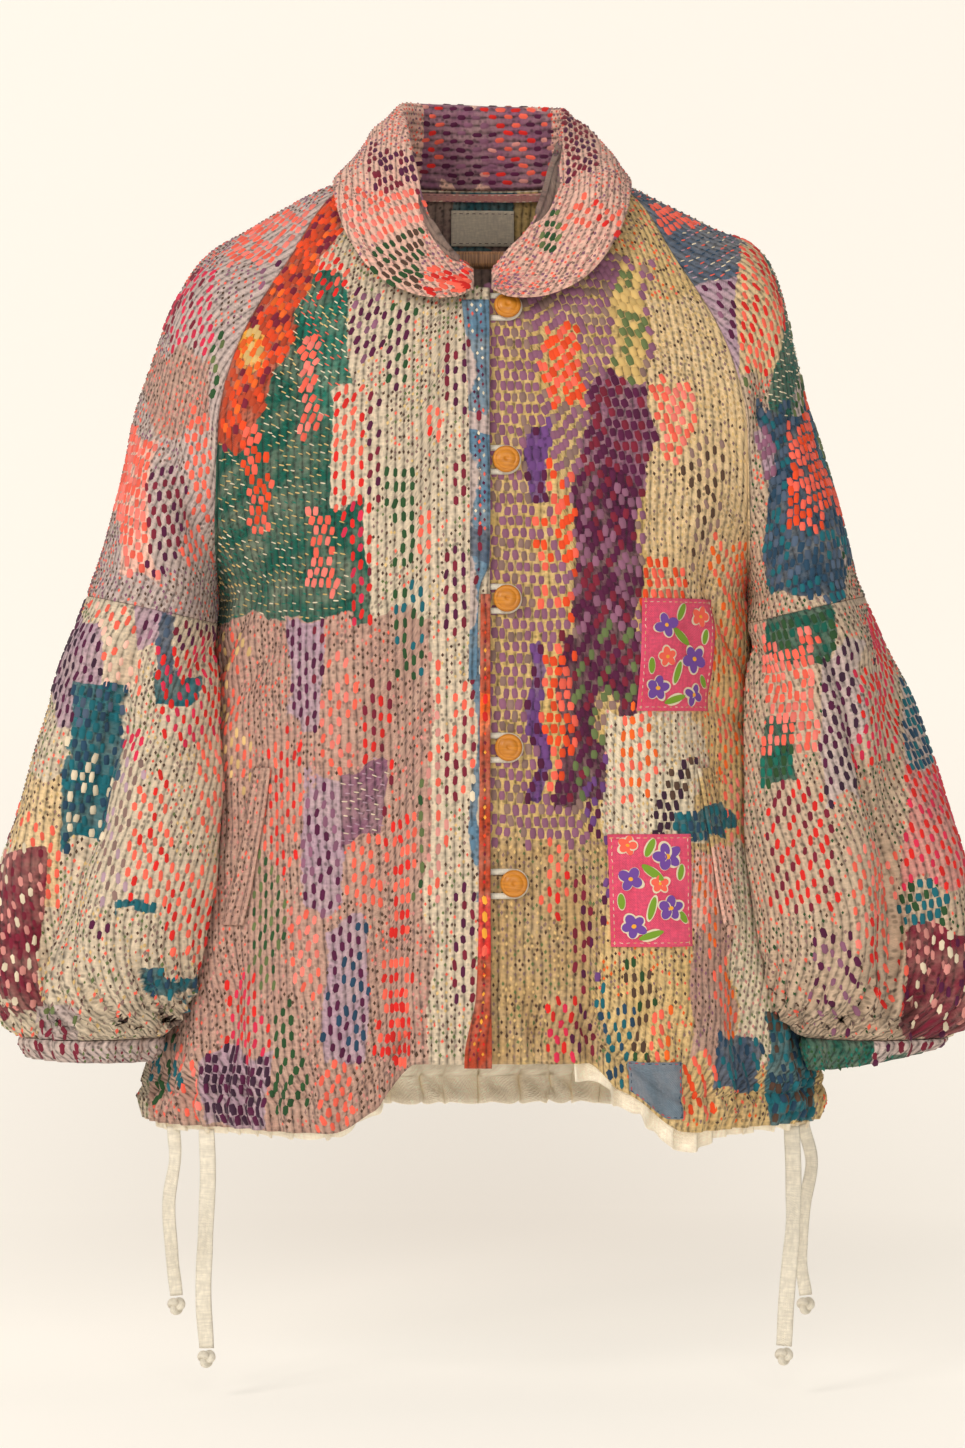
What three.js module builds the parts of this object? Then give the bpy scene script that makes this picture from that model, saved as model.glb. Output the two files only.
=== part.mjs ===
// Kantha bomber jacket hanging on a plain wooden bar.
// Millimetres, +Z up. The front faces -Y and the origin is the top centre of the bar.
import * as THREE from 'three';

// Driving dimensions
const CLOTH = 3;
const SEAM_GAP = 0.3;
const UNDERARM_Z = -245;
const FRONT_NECK_Z = -33;
const NECK_HALF_WIDTH = 74;
const NECK_SIDE_Z = 49;
const BACK_NECK_HALF_WIDTH = 68;
const BACK_NECK_Z = 52;
const HEM_Z = -604;
const HEM_CENTRE_Z = -557;
const HEM_BAND = 22;
const BODY_SQUARENESS = 2.2;
const RIGHT_EDGE_X = -5;
const LEFT_EDGE_X = -7;
const UNDERLAP = { depth: 4.6, fullTo: 34, goneBy: 60 };
const HEM_TURNS = 7.64;
const HEM_WAVE_DEPTH = 2.2;
const HEM_PUFF = 2;
const HEM_GATHER_REACH = 60;
const LEFT_WAVE_SHIFT = 0.37;
const CUFF_WAVES = 17;
const CUFF_WAVE_DEPTH = 2.6;
const CUFF_HEIGHT = 16;
const CUFF_TILT = { right: 0.02, left: 0.16 };
const CUFF_DRAW_IN = 0.1;
const CUFF_BELLY = 0.05;
const FOLD_REACH = 85;
const FOLD_BULGE = 0.05;
const FOLD_BULGE_AT = 1.7;
const UNDERARM_TURN = 2.2;
const NECK_TILT = { least: 0.25, sides: 0.65, spread: 0.02, centreY: -5 };
const BODY_CLEARANCE = 5;
const SAMPLES_PER_WAVE = 3;

// How the fronts' hem drops from the centre height to the hem height: shares of the drop, by x
const HEM_DROP = [
  { side: -1, share: 0.6, from: 46, to: 72 },
  { side: -1, share: 0.4, from: 60, to: 100 },
  { side: 1, share: 0.35, from: 72, to: 90 },
  { side: 1, share: 0.65, from: 84, to: 135 },
];

// Half depth of the body in front of and behind the bar, by height
const DEPTHS = [
  { z: -604, front: 133, back: 134 },
  { z: -585, front: 138, back: 140 },
  { z: -540, front: 136, back: 139 },
  { z: -450, front: 130, back: 134 },
  { z: -350, front: 124, back: 128 },
  { z: -245, front: 117, back: 120 },
  { z: -165, front: 108, back: 114 },
  { z: -110, front: 100, back: 109 },
  { z: -60, front: 90, back: 103 },
  { z: -30, front: 81, back: 97 },
  { z: 0, front: 72, back: 88 },
  { z: 30, front: 59, back: 76 },
  { z: 53, front: 51, back: 66 },
];

// Half width of the body below the underarm, by height
const WIDTHS = [
  { z: -604, half: 233 },
  { z: -585, half: 238 },
  { z: -540, half: 227 },
  { z: -450, half: 212 },
  { z: -350, half: 198 },
  { z: -245, half: 184 },
];

// Raglan seams from the neck (t = 0) to the underarm (t = 1), and the top line of the sleeve
const RAGLAN = [
  { t: 0, frontX: 74, frontY: -30, frontZ: 49, backX: 68, backY: 40, backZ: 53 },
  { t: 0.1, frontX: 105, frontY: -40, frontZ: 34, backX: 99, backY: 60, backZ: 34 },
  { t: 0.24, frontX: 131, frontY: -62, frontZ: -9, backX: 122, backY: 80, backZ: 0 },
  { t: 0.41, frontX: 162, frontY: -80, frontZ: -62, backX: 150, backY: 96, backZ: -55 },
  { t: 0.56, frontX: 178, frontY: -86, frontZ: -113, backX: 168, backY: 100, backZ: -108 },
  { t: 0.71, frontX: 181, frontY: -75, frontZ: -168, backX: 180, backY: 85, backZ: -165 },
  { t: 0.86, frontX: 183, frontY: -44, frontZ: -217, backX: 183, backY: 47, backZ: -216 },
  { t: 1, frontX: 184, frontY: 0, frontZ: -245, backX: 184, backY: 0, backZ: -245 },
];

// Sleeve sections: top or outer line, half depth, opening angle, and how much narrower the left one is
const SLEEVE = [
  { t: 0, outX: 80, outY: 5, outZ: 53, depth: 49, open: 45, leftIn: 0 },
  { t: 0.1, outX: 121, outY: 5, outZ: 36, depth: 61, open: 55, leftIn: 0 },
  { t: 0.24, outX: 157, outY: 3, outZ: 19, depth: 80, open: 62, leftIn: 0 },
  { t: 0.41, outX: 193, outY: 0, outZ: -3, depth: 95, open: 68, leftIn: 1 },
  { t: 0.56, outX: 215, outY: 0, outZ: -40, depth: 94, open: 80, leftIn: 6 },
  { t: 0.71, outX: 239, outY: -2, outZ: -110, depth: 88, open: 110, leftIn: 10 },
  { t: 0.86, outX: 256, outY: -4, outZ: -170, depth: 87, open: 148, leftIn: 11 },
  { t: 1, outX: 270, outY: -5, outZ: -222, depth: 88, open: 180, leftIn: 9 },
  { t: 1.15, outX: 282, outY: -8, outZ: -268, depth: 90, open: 180, leftIn: 5 },
  { t: 1.3, outX: 296, outY: -10, outZ: -318, depth: 90, open: 180, leftIn: 2 },
  { t: 1.5, outX: 315, outY: -12, outZ: -383, depth: 88, open: 180, leftIn: -2 },
  { t: 1.65, outX: 329, outY: -15, outZ: -430, depth: 86, open: 180, leftIn: -3 },
  { t: 1.8, outX: 338, outY: -20, outZ: -480, depth: 82, open: 180, leftIn: -2 },
  { t: 1.9, outX: 337, outY: -26, outZ: -515, depth: 74, open: 180, leftIn: 0 },
  { t: 1.97, outX: 327, outY: -32, outZ: -537, depth: 60, open: 180, leftIn: 0 },
  { t: 2, outX: 317, outY: -35, outZ: -545, depth: 49, open: 180, leftIn: 0 },
];

// Inner (underarm) line of the sleeve below the underarm
const SLEEVE_INNER = [
  { t: 1, x: 184, y: 0, z: -245 },
  { t: 1.15, x: 174, y: -18, z: -286 },
  { t: 1.3, x: 168, y: -28, z: -331 },
  { t: 1.5, x: 165, y: -38, z: -393 },
  { t: 1.65, x: 167, y: -44, z: -438 },
  { t: 1.8, x: 174, y: -48, z: -482 },
  { t: 1.9, x: 187, y: -50, z: -517 },
  { t: 1.97, x: 203, y: -52, z: -537 },
  { t: 2, x: 217, y: -54, z: -544 },
];

// The deep fold that parts each lower sleeve into a front and a rear lobe
const SLEEVE_FOLD = {
  right: [
    { t: 0.75, angle: -88, depth: 0, width: 24 },
    { t: 1.15, angle: -86, depth: 9, width: 23 },
    { t: 1.5, angle: -74, depth: 22, width: 21 },
    { t: 1.8, angle: -56, depth: 32, width: 20 },
    { t: 1.93, angle: -52, depth: 28, width: 22 },
    { t: 2, angle: -50, depth: 10, width: 30 },
  ],
  left: [
    { t: 0.75, angle: -10, depth: 0, width: 24 },
    { t: 1.15, angle: -28, depth: 10, width: 23 },
    { t: 1.5, angle: -64, depth: 20, width: 21 },
    { t: 1.8, angle: -74, depth: 30, width: 20 },
    { t: 1.93, angle: -70, depth: 26, width: 22 },
    { t: 2, angle: -64, depth: 10, width: 30 },
  ],
};

// Vertical folds of the body: where each starts and ends, and how far it stands out or in
const BODY_FOLDS = [
  { face: -1, side: -1, topX: 92, topZ: -60, lowX: 120, height: 8, width: 26 },
  { face: -1, side: -1, topX: 52, topZ: -150, lowX: 62, height: -7, width: 17 },
  { face: -1, side: -1, topX: 150, topZ: -230, lowX: 176, height: -6, width: 18 },
  { face: -1, side: 1, topX: 96, topZ: -80, lowX: 134, height: 8, width: 28 },
  { face: -1, side: 1, topX: 58, topZ: -180, lowX: 72, height: -6, width: 18 },
  { face: -1, side: 1, topX: 152, topZ: -210, lowX: 182, height: -6, width: 18 },
  { face: 1, side: -1, topX: 60, topZ: -40, lowX: 92, height: 7, width: 26 },
  { face: 1, side: -1, topX: 110, topZ: -150, lowX: 150, height: -6, width: 22 },
  { face: 1, side: 1, topX: 56, topZ: -60, lowX: 84, height: 7, width: 28 },
  { face: 1, side: 1, topX: 104, topZ: -130, lowX: 146, height: -6, width: 22 },
];

// Rolled collar from a front end (m = 0) to the centre back (m = 1)
const COLLAR = [
  { m: 0, rollX: 6, rollY: -83, rollZ: -21, edgeX: 6, edgeY: -94, edgeZ: -35 },
  { m: 0.1, rollX: 18, rollY: -84, rollZ: -10, edgeX: 20, edgeY: -97, edgeZ: -41 },
  { m: 0.22, rollX: 31, rollY: -79, rollZ: 6, edgeX: 46, edgeY: -97, edgeZ: -39 },
  { m: 0.34, rollX: 40, rollY: -66, rollZ: 27, edgeX: 73, edgeY: -93, edgeZ: -24 },
  { m: 0.46, rollX: 47, rollY: -46, rollZ: 53, edgeX: 93, edgeY: -78, edgeZ: 5 },
  { m: 0.58, rollX: 54, rollY: -16, rollZ: 82, edgeX: 103, edgeY: -45, edgeZ: 38 },
  { m: 0.7, rollX: 57, rollY: 16, rollZ: 103, edgeX: 101, edgeY: 16, edgeZ: 55 },
  { m: 0.82, rollX: 47, rollY: 42, rollZ: 109, edgeX: 83, edgeY: 68, edgeZ: 53 },
  { m: 0.92, rollX: 24, rollY: 54, rollZ: 111, edgeX: 42, edgeY: 90, edgeZ: 47 },
  { m: 1, rollX: 0, rollY: 57, rollZ: 111, edgeX: 0, edgeY: 96, edgeZ: 45 },
];
const COLLAR_ROLL_RADIUS = 7;

// Buttons down the left front
const BUTTON_RADIUS = 9.2;
const BUTTON_NECK_RADIUS = 3.6;
const BUTTON_NECK_HEIGHT = 2.8;
const BUTTON_PROFILE = [
  { r: 0, h: 0 },
  { r: BUTTON_NECK_RADIUS, h: 0 },
  { r: BUTTON_NECK_RADIUS, h: BUTTON_NECK_HEIGHT },
  { r: BUTTON_RADIUS - 1, h: BUTTON_NECK_HEIGHT },
  { r: BUTTON_RADIUS, h: BUTTON_NECK_HEIGHT + 1.4 },
  { r: BUTTON_RADIUS - 1.2, h: BUTTON_NECK_HEIGHT + 3.6 },
  { r: 0.55 * BUTTON_RADIUS, h: BUTTON_NECK_HEIGHT + 5.2 },
  { r: 1.6, h: BUTTON_NECK_HEIGHT + 5 },
  { r: 0, h: BUTTON_NECK_HEIGHT + 4.2 },
];
const BUTTONS = [
  { x: 17, z: -47 },
  { x: 16, z: -152 },
  { x: 16.5, z: -246 },
  { x: 17.5, z: -346 },
  { x: 21, z: -437 },
];
const LOOP_OUTER_RADIUS = 10.2;
const LOOP_INNER_RADIUS = 6;
const LOOP_THICKNESS = 1.6;

// Sewn-on patches of the left front: corners' extent in X and Z, and how far each leans
const PATCHES = [
  { name: 'patch_pink_upper', x0: 104, x1: 156, z0: -321, z1: -245, lean: 4, lift: 0.8, colour: 0xe8518e },
  { name: 'patch_pink_lower', x0: 85, x1: 137, z0: -479, z1: -404, lean: -2, lift: 0.8, colour: 0xe0527f },
  { name: 'patch_slate', x0: 97, x1: 131, z0: -594, z1: -556, lean: 0, lift: 1.5, colour: 0x5f7590 },
];
const PATCH_THICKNESS = 1.1;
const POCKET_LIFT = 1.5;

// Side pockets: the slanted band at each pocket's mouth
const POCKET = { topX: 149, topZ: -360, lowX: 170, lowZ: -466, width: 13, thickness: 1.5 };

// Blank label and the tape over the neck seam, inside the back
const LABEL = { halfWidth: 22.5, top: 38, bottom: 14, thickness: 0.8, lift: -4.2 };
const NECK_TAPE = { halfWidth: 47, top: 49, bottom: 44, thickness: 1.1, lift: -5 };
const CASING_THICKNESS = 1.3;
const CASING_OFFSET = CLOTH + 1;
const CASING_DROP_V = -0.005;
const CASING_END_COLUMNS = 6;

// Edge pieces of the right front: how far each reaches from the edge, by height
const EDGE_STRIP = [
  { z: -300, from: 9, to: 14 },
  { z: -246, from: 7.8, to: 13 },
  { z: -236, from: 6.5, to: 13 },
  { z: -222, from: 0.8, to: 13 },
  { z: -120, from: 0.6, to: 14 },
  { z: -60, from: 0.6, to: 17 },
  { z: -42, from: 0.6, to: 19 },
];
const EDGE_BINDING = [
  { z: -559, from: -1, to: 17 },
  { z: -545, from: -1, to: 16 },
  { z: -510, from: -0.5, to: 9 },
  { z: -400, from: 0, to: 7 },
  { z: -243, from: 0, to: 6 },
];
const STRIP_THICKNESS = 1.3;

// The wooden bar inside the shoulders
const BAR_HALF_LENGTH = 182.5;
const BAR_HEIGHT = 11;
const BAR_DEPTH = 20;
const BAR_ROUNDING = 3;

// Tapes: route of each from the hem casing down to its knot, and its width
const TAPE_THICKNESS = 1.6;
const KNOT = { radius: 7, squashY: 0.85, squashZ: 0.95 };
const TAPES = [
  { width: 9, route: [
    [-212, -56, -605.75], [-211, -57, -628], [-215, -58, -658], [-213, -57, -692], [-210, -56, -722]] },
  { width: 11, route: [
    [-188, -76, -605.75], [-187, -77, -638], [-189, -77, -684], [-190, -77, -722], [-188, -76, -755]] },
  { width: 11, route: [
    [212, -57, -605.75], [213, -60, -638], [212, -63, -676], [208, -66, -720], [206, -66, -755]] },
  { width: 9, route: [
    [221, -42, -605.75], [227, -40, -632], [222, -38, -664], [220, -39, -698], [223, -40, -724]] },
];

// Material colours
const COLOURS = {
  cloth: 0xc9b3a3, sleeve: 0xcdb9ac, collar: 0xcfb3b4, cream: 0xe9dfcf, wood: 0xc48a3a,
  bar: 0xb08a5a, blue: 0x5d7d9c, orange: 0xd8532c, label: 0xd6cdbd,
};

const smooth = (x) => x * x * (3 - 2 * x);
const clamp01 = (x) => Math.min(1, Math.max(0, x));
const step = (from, to, x) => smooth(clamp01((x - from) / (to - from)));
const mix = THREE.MathUtils.lerp;
const rad = THREE.MathUtils.degToRad;
const vec = (x, y, z) => new THREE.Vector3(x, y, z);

// A table's column at a key, as a smooth curve through its rows
function column(table, key, name, at) {
  const last = table.length - 1;
  if (at <= table[0][key]) return table[0][name];
  if (at >= table[last][key]) return table[last][name];
  let i = 0;
  while (table[i + 1][key] < at) i += 1;
  const slope = (k) => {
    const a = table[Math.max(0, k - 1)];
    const b = table[Math.min(last, k + 1)];
    return (b[name] - a[name]) / (b[key] - a[key]);
  };
  const span = table[i + 1][key] - table[i][key];
  const s = (at - table[i][key]) / span;
  const rise = table[i + 1][name] - table[i][name];
  const m0 = slope(i) * span;
  const m1 = slope(i + 1) * span;
  const cubic = (m0 + m1 - 2 * rise) * s + (3 * rise - 2 * m0 - m1);
  return table[i][name] + s * (m0 + s * cubic);
}

// Uneven waves of gathered cloth, by distance along it in waves
function wave(turns) {
  const uneven = 0.75 + 0.25 * Math.sin(turns * 1.9) * Math.sin(turns * 0.83 + 1);
  return uneven * Math.cos(2 * Math.PI * turns);
}

// Evenly spaced values from a to b
const spread = (a, b, n) => Array.from({ length: n + 1 }, (_, i) => mix(a, b, i / n));

// Closed wall between an outer surface and its offset along normalAt.
// Each row holds a v and its own list of u, and inset draws back the edges.
function wall({ rows, point, normalAt, thickness = CLOTH, inset = {}, offset = 0 }) {
  const outer = [];
  const inner = [];
  rows.forEach(({ v, us }) => {
    const outerRow = [];
    const innerRow = [];
    us.forEach((u) => {
      const p = point(u, v);
      const n = normalAt(u, v);
      outerRow.push(p.clone().addScaledVector(n, -offset));
      innerRow.push(p.clone().addScaledVector(n, -offset - thickness));
    });
    outer.push(outerRow);
    inner.push(innerRow);
  });
  for (const sheet of [outer, inner]) insetEdges(sheet, inset);
  return closeWall(outer, inner, rows.map((row) => row.us));
}

// Draw back the named edges of a sheet of points, each by its share of the seam gap
function insetEdges(sheet, inset) {
  const last = sheet.length - 1;
  const pull = (p, towards, share) => {
    p.addScaledVector(towards.clone().sub(p).normalize(), share * SEAM_GAP);
  };
  if (inset.u0) sheet.forEach((row) => pull(row[0], row[1], inset.u0));
  if (inset.u1) sheet.forEach((row) => pull(row[row.length - 1], row[row.length - 2], inset.u1));
  const nearest = (p, row) => row.reduce((a, b) => (b.distanceTo(p) < a.distanceTo(p) ? b : a));
  if (inset.v0) sheet[0].forEach((p) => pull(p, nearest(p, sheet[1]), inset.v0));
  if (inset.v1) sheet[last].forEach((p) => pull(p, nearest(p, sheet[last - 1]), inset.v1));
}

// Join two sheets of rows into one closed body
function closeWall(outer, inner, us) {
  const points = [];
  const triangles = [];
  const number = (sheet) => sheet.map((row) => row.map((p) => points.push(p) - 1));
  const outerIds = number(outer);
  const innerIds = number(inner);
  const add = (a, b, c, flip) => triangles.push(flip ? [a, c, b] : [a, b, c]);
  const zip = (rowA, rowB, ua, ub, flip) => {
    let i = 0;
    let j = 0;
    const scale = (list, k) => (list[k] - list[0]) / (list[list.length - 1] - list[0]);
    while (i < rowA.length - 1 || j < rowB.length - 1) {
      const nextA = i < rowA.length - 1 ? scale(ua, i + 1) : 2;
      const nextB = j < rowB.length - 1 ? scale(ub, j + 1) : 2;
      if (nextA <= nextB + 1e-9) {
        add(rowA[i], rowA[i + 1], rowB[j], flip);
        i += 1;
      } else {
        add(rowA[i], rowB[j + 1], rowB[j], flip);
        j += 1;
      }
    }
  };
  for (let r = 0; r < outer.length - 1; r += 1) {
    zip(outerIds[r], outerIds[r + 1], us[r], us[r + 1], false);
    zip(innerIds[r], innerIds[r + 1], us[r], us[r + 1], true);
    const endA = us[r].length - 1;
    const endB = us[r + 1].length - 1;
    const quad = (a, b, c, d) => {
      add(a, b, c, false);
      add(a, c, d, false);
    };
    quad(outerIds[r][0], outerIds[r + 1][0], innerIds[r + 1][0], innerIds[r][0]);
    quad(outerIds[r + 1][endB], outerIds[r][endA], innerIds[r][endA], innerIds[r + 1][endB]);
  }
  const rim = (rowOut, rowIn, flip) => {
    for (let k = 0; k < rowOut.length - 1; k += 1) {
      add(rowOut[k + 1], rowOut[k], rowIn[k], flip);
      add(rowOut[k + 1], rowIn[k], rowIn[k + 1], flip);
    }
  };
  rim(outerIds[0], innerIds[0], false);
  rim(outerIds[outer.length - 1], innerIds[outer.length - 1], true);
  return toGeometry(points, triangles);
}

// Geometry of indexed points, turned so that its faces point out
function toGeometry(points, triangles) {
  let volume = 0;
  triangles.forEach(([a, b, c]) => {
    volume += points[a].dot(points[b].clone().cross(points[c]));
  });
  const geometry = new THREE.BufferGeometry();
  const flat = points.flatMap((p) => [p.x, p.y, p.z]);
  geometry.setAttribute('position', new THREE.Float32BufferAttribute(flat, 3));
  geometry.setIndex(triangles.flatMap(([a, b, c]) => (volume < 0 ? [a, c, b] : [a, b, c])));
  geometry.computeVertexNormals();
  return geometry;
}

const jacket = new THREE.Group();

function addMesh(name, geometry, color, roughness = 0.95) {
  const material = new THREE.MeshStandardMaterial({ color, roughness, metalness: 0 });
  const mesh = new THREE.Mesh(geometry, material);
  mesh.name = name;
  jacket.add(mesh);
  return mesh;
}

// Body sections

const facePrefix = (face) => (face < 0 ? 'front' : 'back');
const raglan = (t, face, axis) => column(RAGLAN, 't', facePrefix(face) + axis, t);

// Place on the raglan seam, as t, at a height
function raglanAt(z, face) {
  let low = 0;
  let high = 1;
  for (let i = 0; i < 24; i += 1) {
    const middle = (low + high) / 2;
    if (raglan(middle, face, 'Z') > z) low = middle;
    else high = middle;
  }
  return (low + high) / 2;
}

// Half width and half depth of the body's section at a height
function section(z, face) {
  const depth = column(DEPTHS, 'z', facePrefix(face), z);
  if (z <= UNDERARM_Z) return { half: column(WIDTHS, 'z', 'half', z), depth };
  const t = raglanAt(z, face);
  const ratio = Math.min(0.97, Math.abs(raglan(t, face, 'Y')) / depth);
  const half = raglan(t, face, 'X') / (1 - ratio ** BODY_SQUARENESS) ** (1 / BODY_SQUARENESS);
  return { half, depth };
}

// How far the body's folds stand out at a place
function bodyFold(x, z, face, side) {
  let height = 0;
  BODY_FOLDS.filter((fold) => fold.face === face && fold.side === side).forEach((fold) => {
    const down = clamp01((fold.topZ - z) / (fold.topZ - HEM_Z));
    const across = (x - mix(fold.topX, fold.lowX, down)) / (fold.width * (0.7 + 0.5 * down));
    height += fold.height * smooth(down ** 0.7) * Math.exp(-across * across);
  });
  return height;
}

// Point of the body's outer surface from its half section's x and height
function bodyPoint(x, z, face, side, lift = 0) {
  const { half, depth } = section(z, face);
  const ratio = Math.min(1, Math.abs(x) / half);
  const y = depth * (1 - ratio ** BODY_SQUARENESS) ** (1 / BODY_SQUARENESS);
  const out = lift + bodyFold(x, z, face, side) * step(1, 0.9, ratio);
  const nx = Math.sign(x) * ratio ** (BODY_SQUARENESS - 1) / half;
  const ny = (y / depth) ** (BODY_SQUARENESS - 1) / depth;
  const length = Math.hypot(nx, ny);
  return vec(side * (x + out * nx / length), face * (y + out * ny / length), z);
}

// x on a section at an angle from its centre line, and the angle of an x
function sectionX(half, angle) {
  return Math.sign(angle) * half * Math.abs(Math.sin(angle)) ** (2 / BODY_SQUARENESS);
}

function sectionAngle(half, x) {
  const ratio = Math.min(1, Math.abs(x) / half);
  return Math.sign(x) * Math.asin(ratio ** (BODY_SQUARENESS / 2));
}

// Hem height by distance from the centre: the fronts rise near their edges
function hemHeight(x, face, side) {
  if (face > 0) return HEM_Z;
  let share = 0;
  HEM_DROP.filter((drop) => drop.side === side).forEach((drop) => {
    share += drop.share * step(drop.from, drop.to, x);
  });
  return mix(HEM_CENTRE_Z, HEM_Z, share);
}

// x and z of a body half at q across (0 centre, 1 seam) and v up (0 hem, UNDERARM_V underarm, 1 neck)
const UNDERARM_V = 0.6;
function bodyPlace(q, v, face, side) {
  const edgeX = face > 0 ? 0 : (side < 0 ? RIGHT_EDGE_X : LEFT_EDGE_X);
  if (v <= UNDERARM_V) {
    const up = v / UNDERARM_V;
    const { half: hemHalf } = section(HEM_Z, face);
    const hemX = sectionX(hemHalf, mix(sectionAngle(hemHalf, edgeX), Math.PI / 2, q));
    const z = mix(hemHeight(hemX, face, side), UNDERARM_Z, up);
    const { half } = section(z, face);
    return { x: sectionX(half, mix(sectionAngle(half, edgeX), Math.PI / 2, q)), z };
  }
  const w = (v - UNDERARM_V) / (1 - UNDERARM_V);
  const { half } = section(UNDERARM_Z, face);
  const lowX = sectionX(half, mix(sectionAngle(half, edgeX), Math.PI / 2, q));
  const neckHalf = face > 0 ? BACK_NECK_HALF_WIDTH : NECK_HALF_WIDTH;
  const neckLow = face > 0 ? BACK_NECK_Z : FRONT_NECK_Z;
  const neckHigh = face > 0 ? BACK_NECK_Z + 1 : NECK_SIDE_Z;
  const topX = edgeX + (neckHalf - edgeX) * Math.sin(q * Math.PI / 2);
  const topZ = neckHigh - (neckHigh - neckLow) * Math.cos(q * Math.PI / 2);
  const seamX = raglan(1 - w, face, 'X');
  const seamZ = raglan(1 - w, face, 'Z');
  const edgeZ = mix(UNDERARM_Z, neckLow, w);
  const x = (1 - w) * lowX + w * topX + (1 - q) * edgeX + q * seamX
    - ((1 - q) * edgeX + q * ((1 - w) * half + w * neckHalf));
  const z = (1 - w) * UNDERARM_Z + w * topZ + (1 - q) * edgeZ + q * seamZ
    - ((1 - w) * UNDERARM_Z + w * ((1 - q) * neckLow + q * neckHigh));
  return { x, z };
}

// How far the hem's gathers and puff, and the left front's underlap, move the cloth at a place
function bodyLift(x, z, face, side) {
  const rise = z - hemHeight(x, face, side);
  const { half } = section(Math.max(z, HEM_Z), face);
  const fade = step(12, 26, x + (face > 0 ? 26 : 0)) * step(half, half - 7, x);
  const gather = step(HEM_GATHER_REACH, HEM_BAND, rise) * fade;
  const puff = HEM_PUFF * step(-6, 8, rise) * step(HEM_BAND + 6, 10, rise);
  const turns = sectionAngle(half, x) * HEM_TURNS + (side > 0 ? LEFT_WAVE_SHIFT : 0);
  const lift = gather * (puff + HEM_WAVE_DEPTH * wave(turns));
  const laps = face < 0 && side > 0;
  const under = laps ? UNDERLAP.depth * step(UNDERLAP.goneBy, UNDERLAP.fullTo, x) : 0;
  return lift - under;
}

// Body panel surface: q across and v up, q running on both sides of the centre on the back
function bodySurface(face, side) {
  return (q, v) => {
    const half = face > 0 ? Math.sign(q) || 1 : side;
    const { x, z } = bodyPlace(Math.abs(q), v, face, half);
    return bodyPoint(x, z, face, half, bodyLift(x, z, face, half));
  };
}

// Rows of a body panel: even columns, and finer ones where the hem is gathered
const BODY_LOW_V = [0.08, 0.125, 0.19, 0.26, 0.33, 0.4, 0.47, 0.535, 0.58];
const SEAM_T = [1, 0.93, 0.86, 0.77, 0.68, 0.59, 0.5, 0.41, 0.32, 0.23, 0.14, 0.07, 0];
const HEM_V = [0, 0.022, 0.045];
const COLUMNS = 10;
const FINE_COLUMNS = 36;
const NECK_COLUMNS = 7;
const seamV = (t) => UNDERARM_V + (1 - UNDERARM_V) * (1 - t);
const bodyColumns = (t) => Math.round(mix(NECK_COLUMNS, COLUMNS, step(0, 0.45, t)));
function bodyRows(from) {
  const halves = 1 - from;
  return [
    ...HEM_V.map((v) => ({ v, us: spread(from, 1, FINE_COLUMNS * halves) })),
    ...BODY_LOW_V.map((v) => ({ v, us: spread(from, 1, COLUMNS * halves) })),
    ...SEAM_T.map((t) => ({ v: seamV(t), us: spread(from, 1, bodyColumns(t) * halves) })),
  ];
}

// Sleeve surface: u from the front seam round to the back seam, t down from the neck
function sleeveSurface(side) {
  const folds = side < 0 ? SLEEVE_FOLD.right : SLEEVE_FOLD.left;
  return (u, t) => {
    const at = (name) => column(SLEEVE, 't', name, t);
    const top = vec(at('outX') - (side > 0 ? at('leftIn') : 0), at('outY'), at('outZ'));
    const front = vec(0, 0, 0);
    const back = vec(0, 0, 0);
    if (t < 1) {
      front.set(raglan(t, -1, 'X'), raglan(t, -1, 'Y'), raglan(t, -1, 'Z'));
      back.set(raglan(t, 1, 'X'), raglan(t, 1, 'Y'), raglan(t, 1, 'Z'));
    } else {
      ['x', 'y', 'z'].forEach((axis) => {
        front[axis] = column(SLEEVE_INNER, 't', axis, t);
        back[axis] = front[axis];
      });
    }
    const middle = front.clone().add(back).multiplyScalar(0.5);
    const open = rad(at('open'));
    const outward = top.clone().sub(middle);
    const reach = outward.length() / (1 - Math.cos(open));
    const e1 = outward.normalize();
    const centre = top.clone().addScaledVector(e1, -reach);
    const plan = vec(e1.x, e1.y, 0).normalize();
    const e2 = vec(-plan.y, plan.x, 0).lerp(vec(0, 1, 0), 1 - step(0.85, 1.2, t)).normalize();
    const arc = (angle) => {
      const foldAt = rad(column(folds, 't', 'angle', t));
      const turned = (angle - foldAt) / rad(column(folds, 't', 'width', t));
      const dent = column(folds, 't', 'depth', t) * Math.exp(-turned * turned);
      const seam = step(2.02, 1.9, t) * step(0.6, 1.15, t);
      const beside = Math.exp(-((turned - FOLD_BULGE_AT) ** 2));
      const bulge = 1 - dent * step(0.7, 1, t) / FOLD_REACH + FOLD_BULGE * seam * beside;
      const turns = CUFF_WAVES * (angle + Math.PI) / 2 / Math.PI;
      const waves = step(1.84, 1.94, t) * CUFF_WAVE_DEPTH * wave(turns);
      return centre.clone()
        .addScaledVector(e1, (reach * bulge + waves) * Math.cos(angle))
        .addScaledVector(e2, (at('depth') * bulge + waves) * Math.sin(angle));
    };
    const angle = mix(-open, open, u);
    const p = arc(angle);
    const miss = front.clone().sub(arc(-open)).lerp(back.clone().sub(arc(open)), u);
    p.addScaledVector(miss, t < 1 ? 1 : 0);
    clearBody(p, 1 + BODY_CLEARANCE * step(1, 1.12, t), step(0.98, 1.06, t));
    p.x *= side;
    return p;
  };
}

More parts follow.
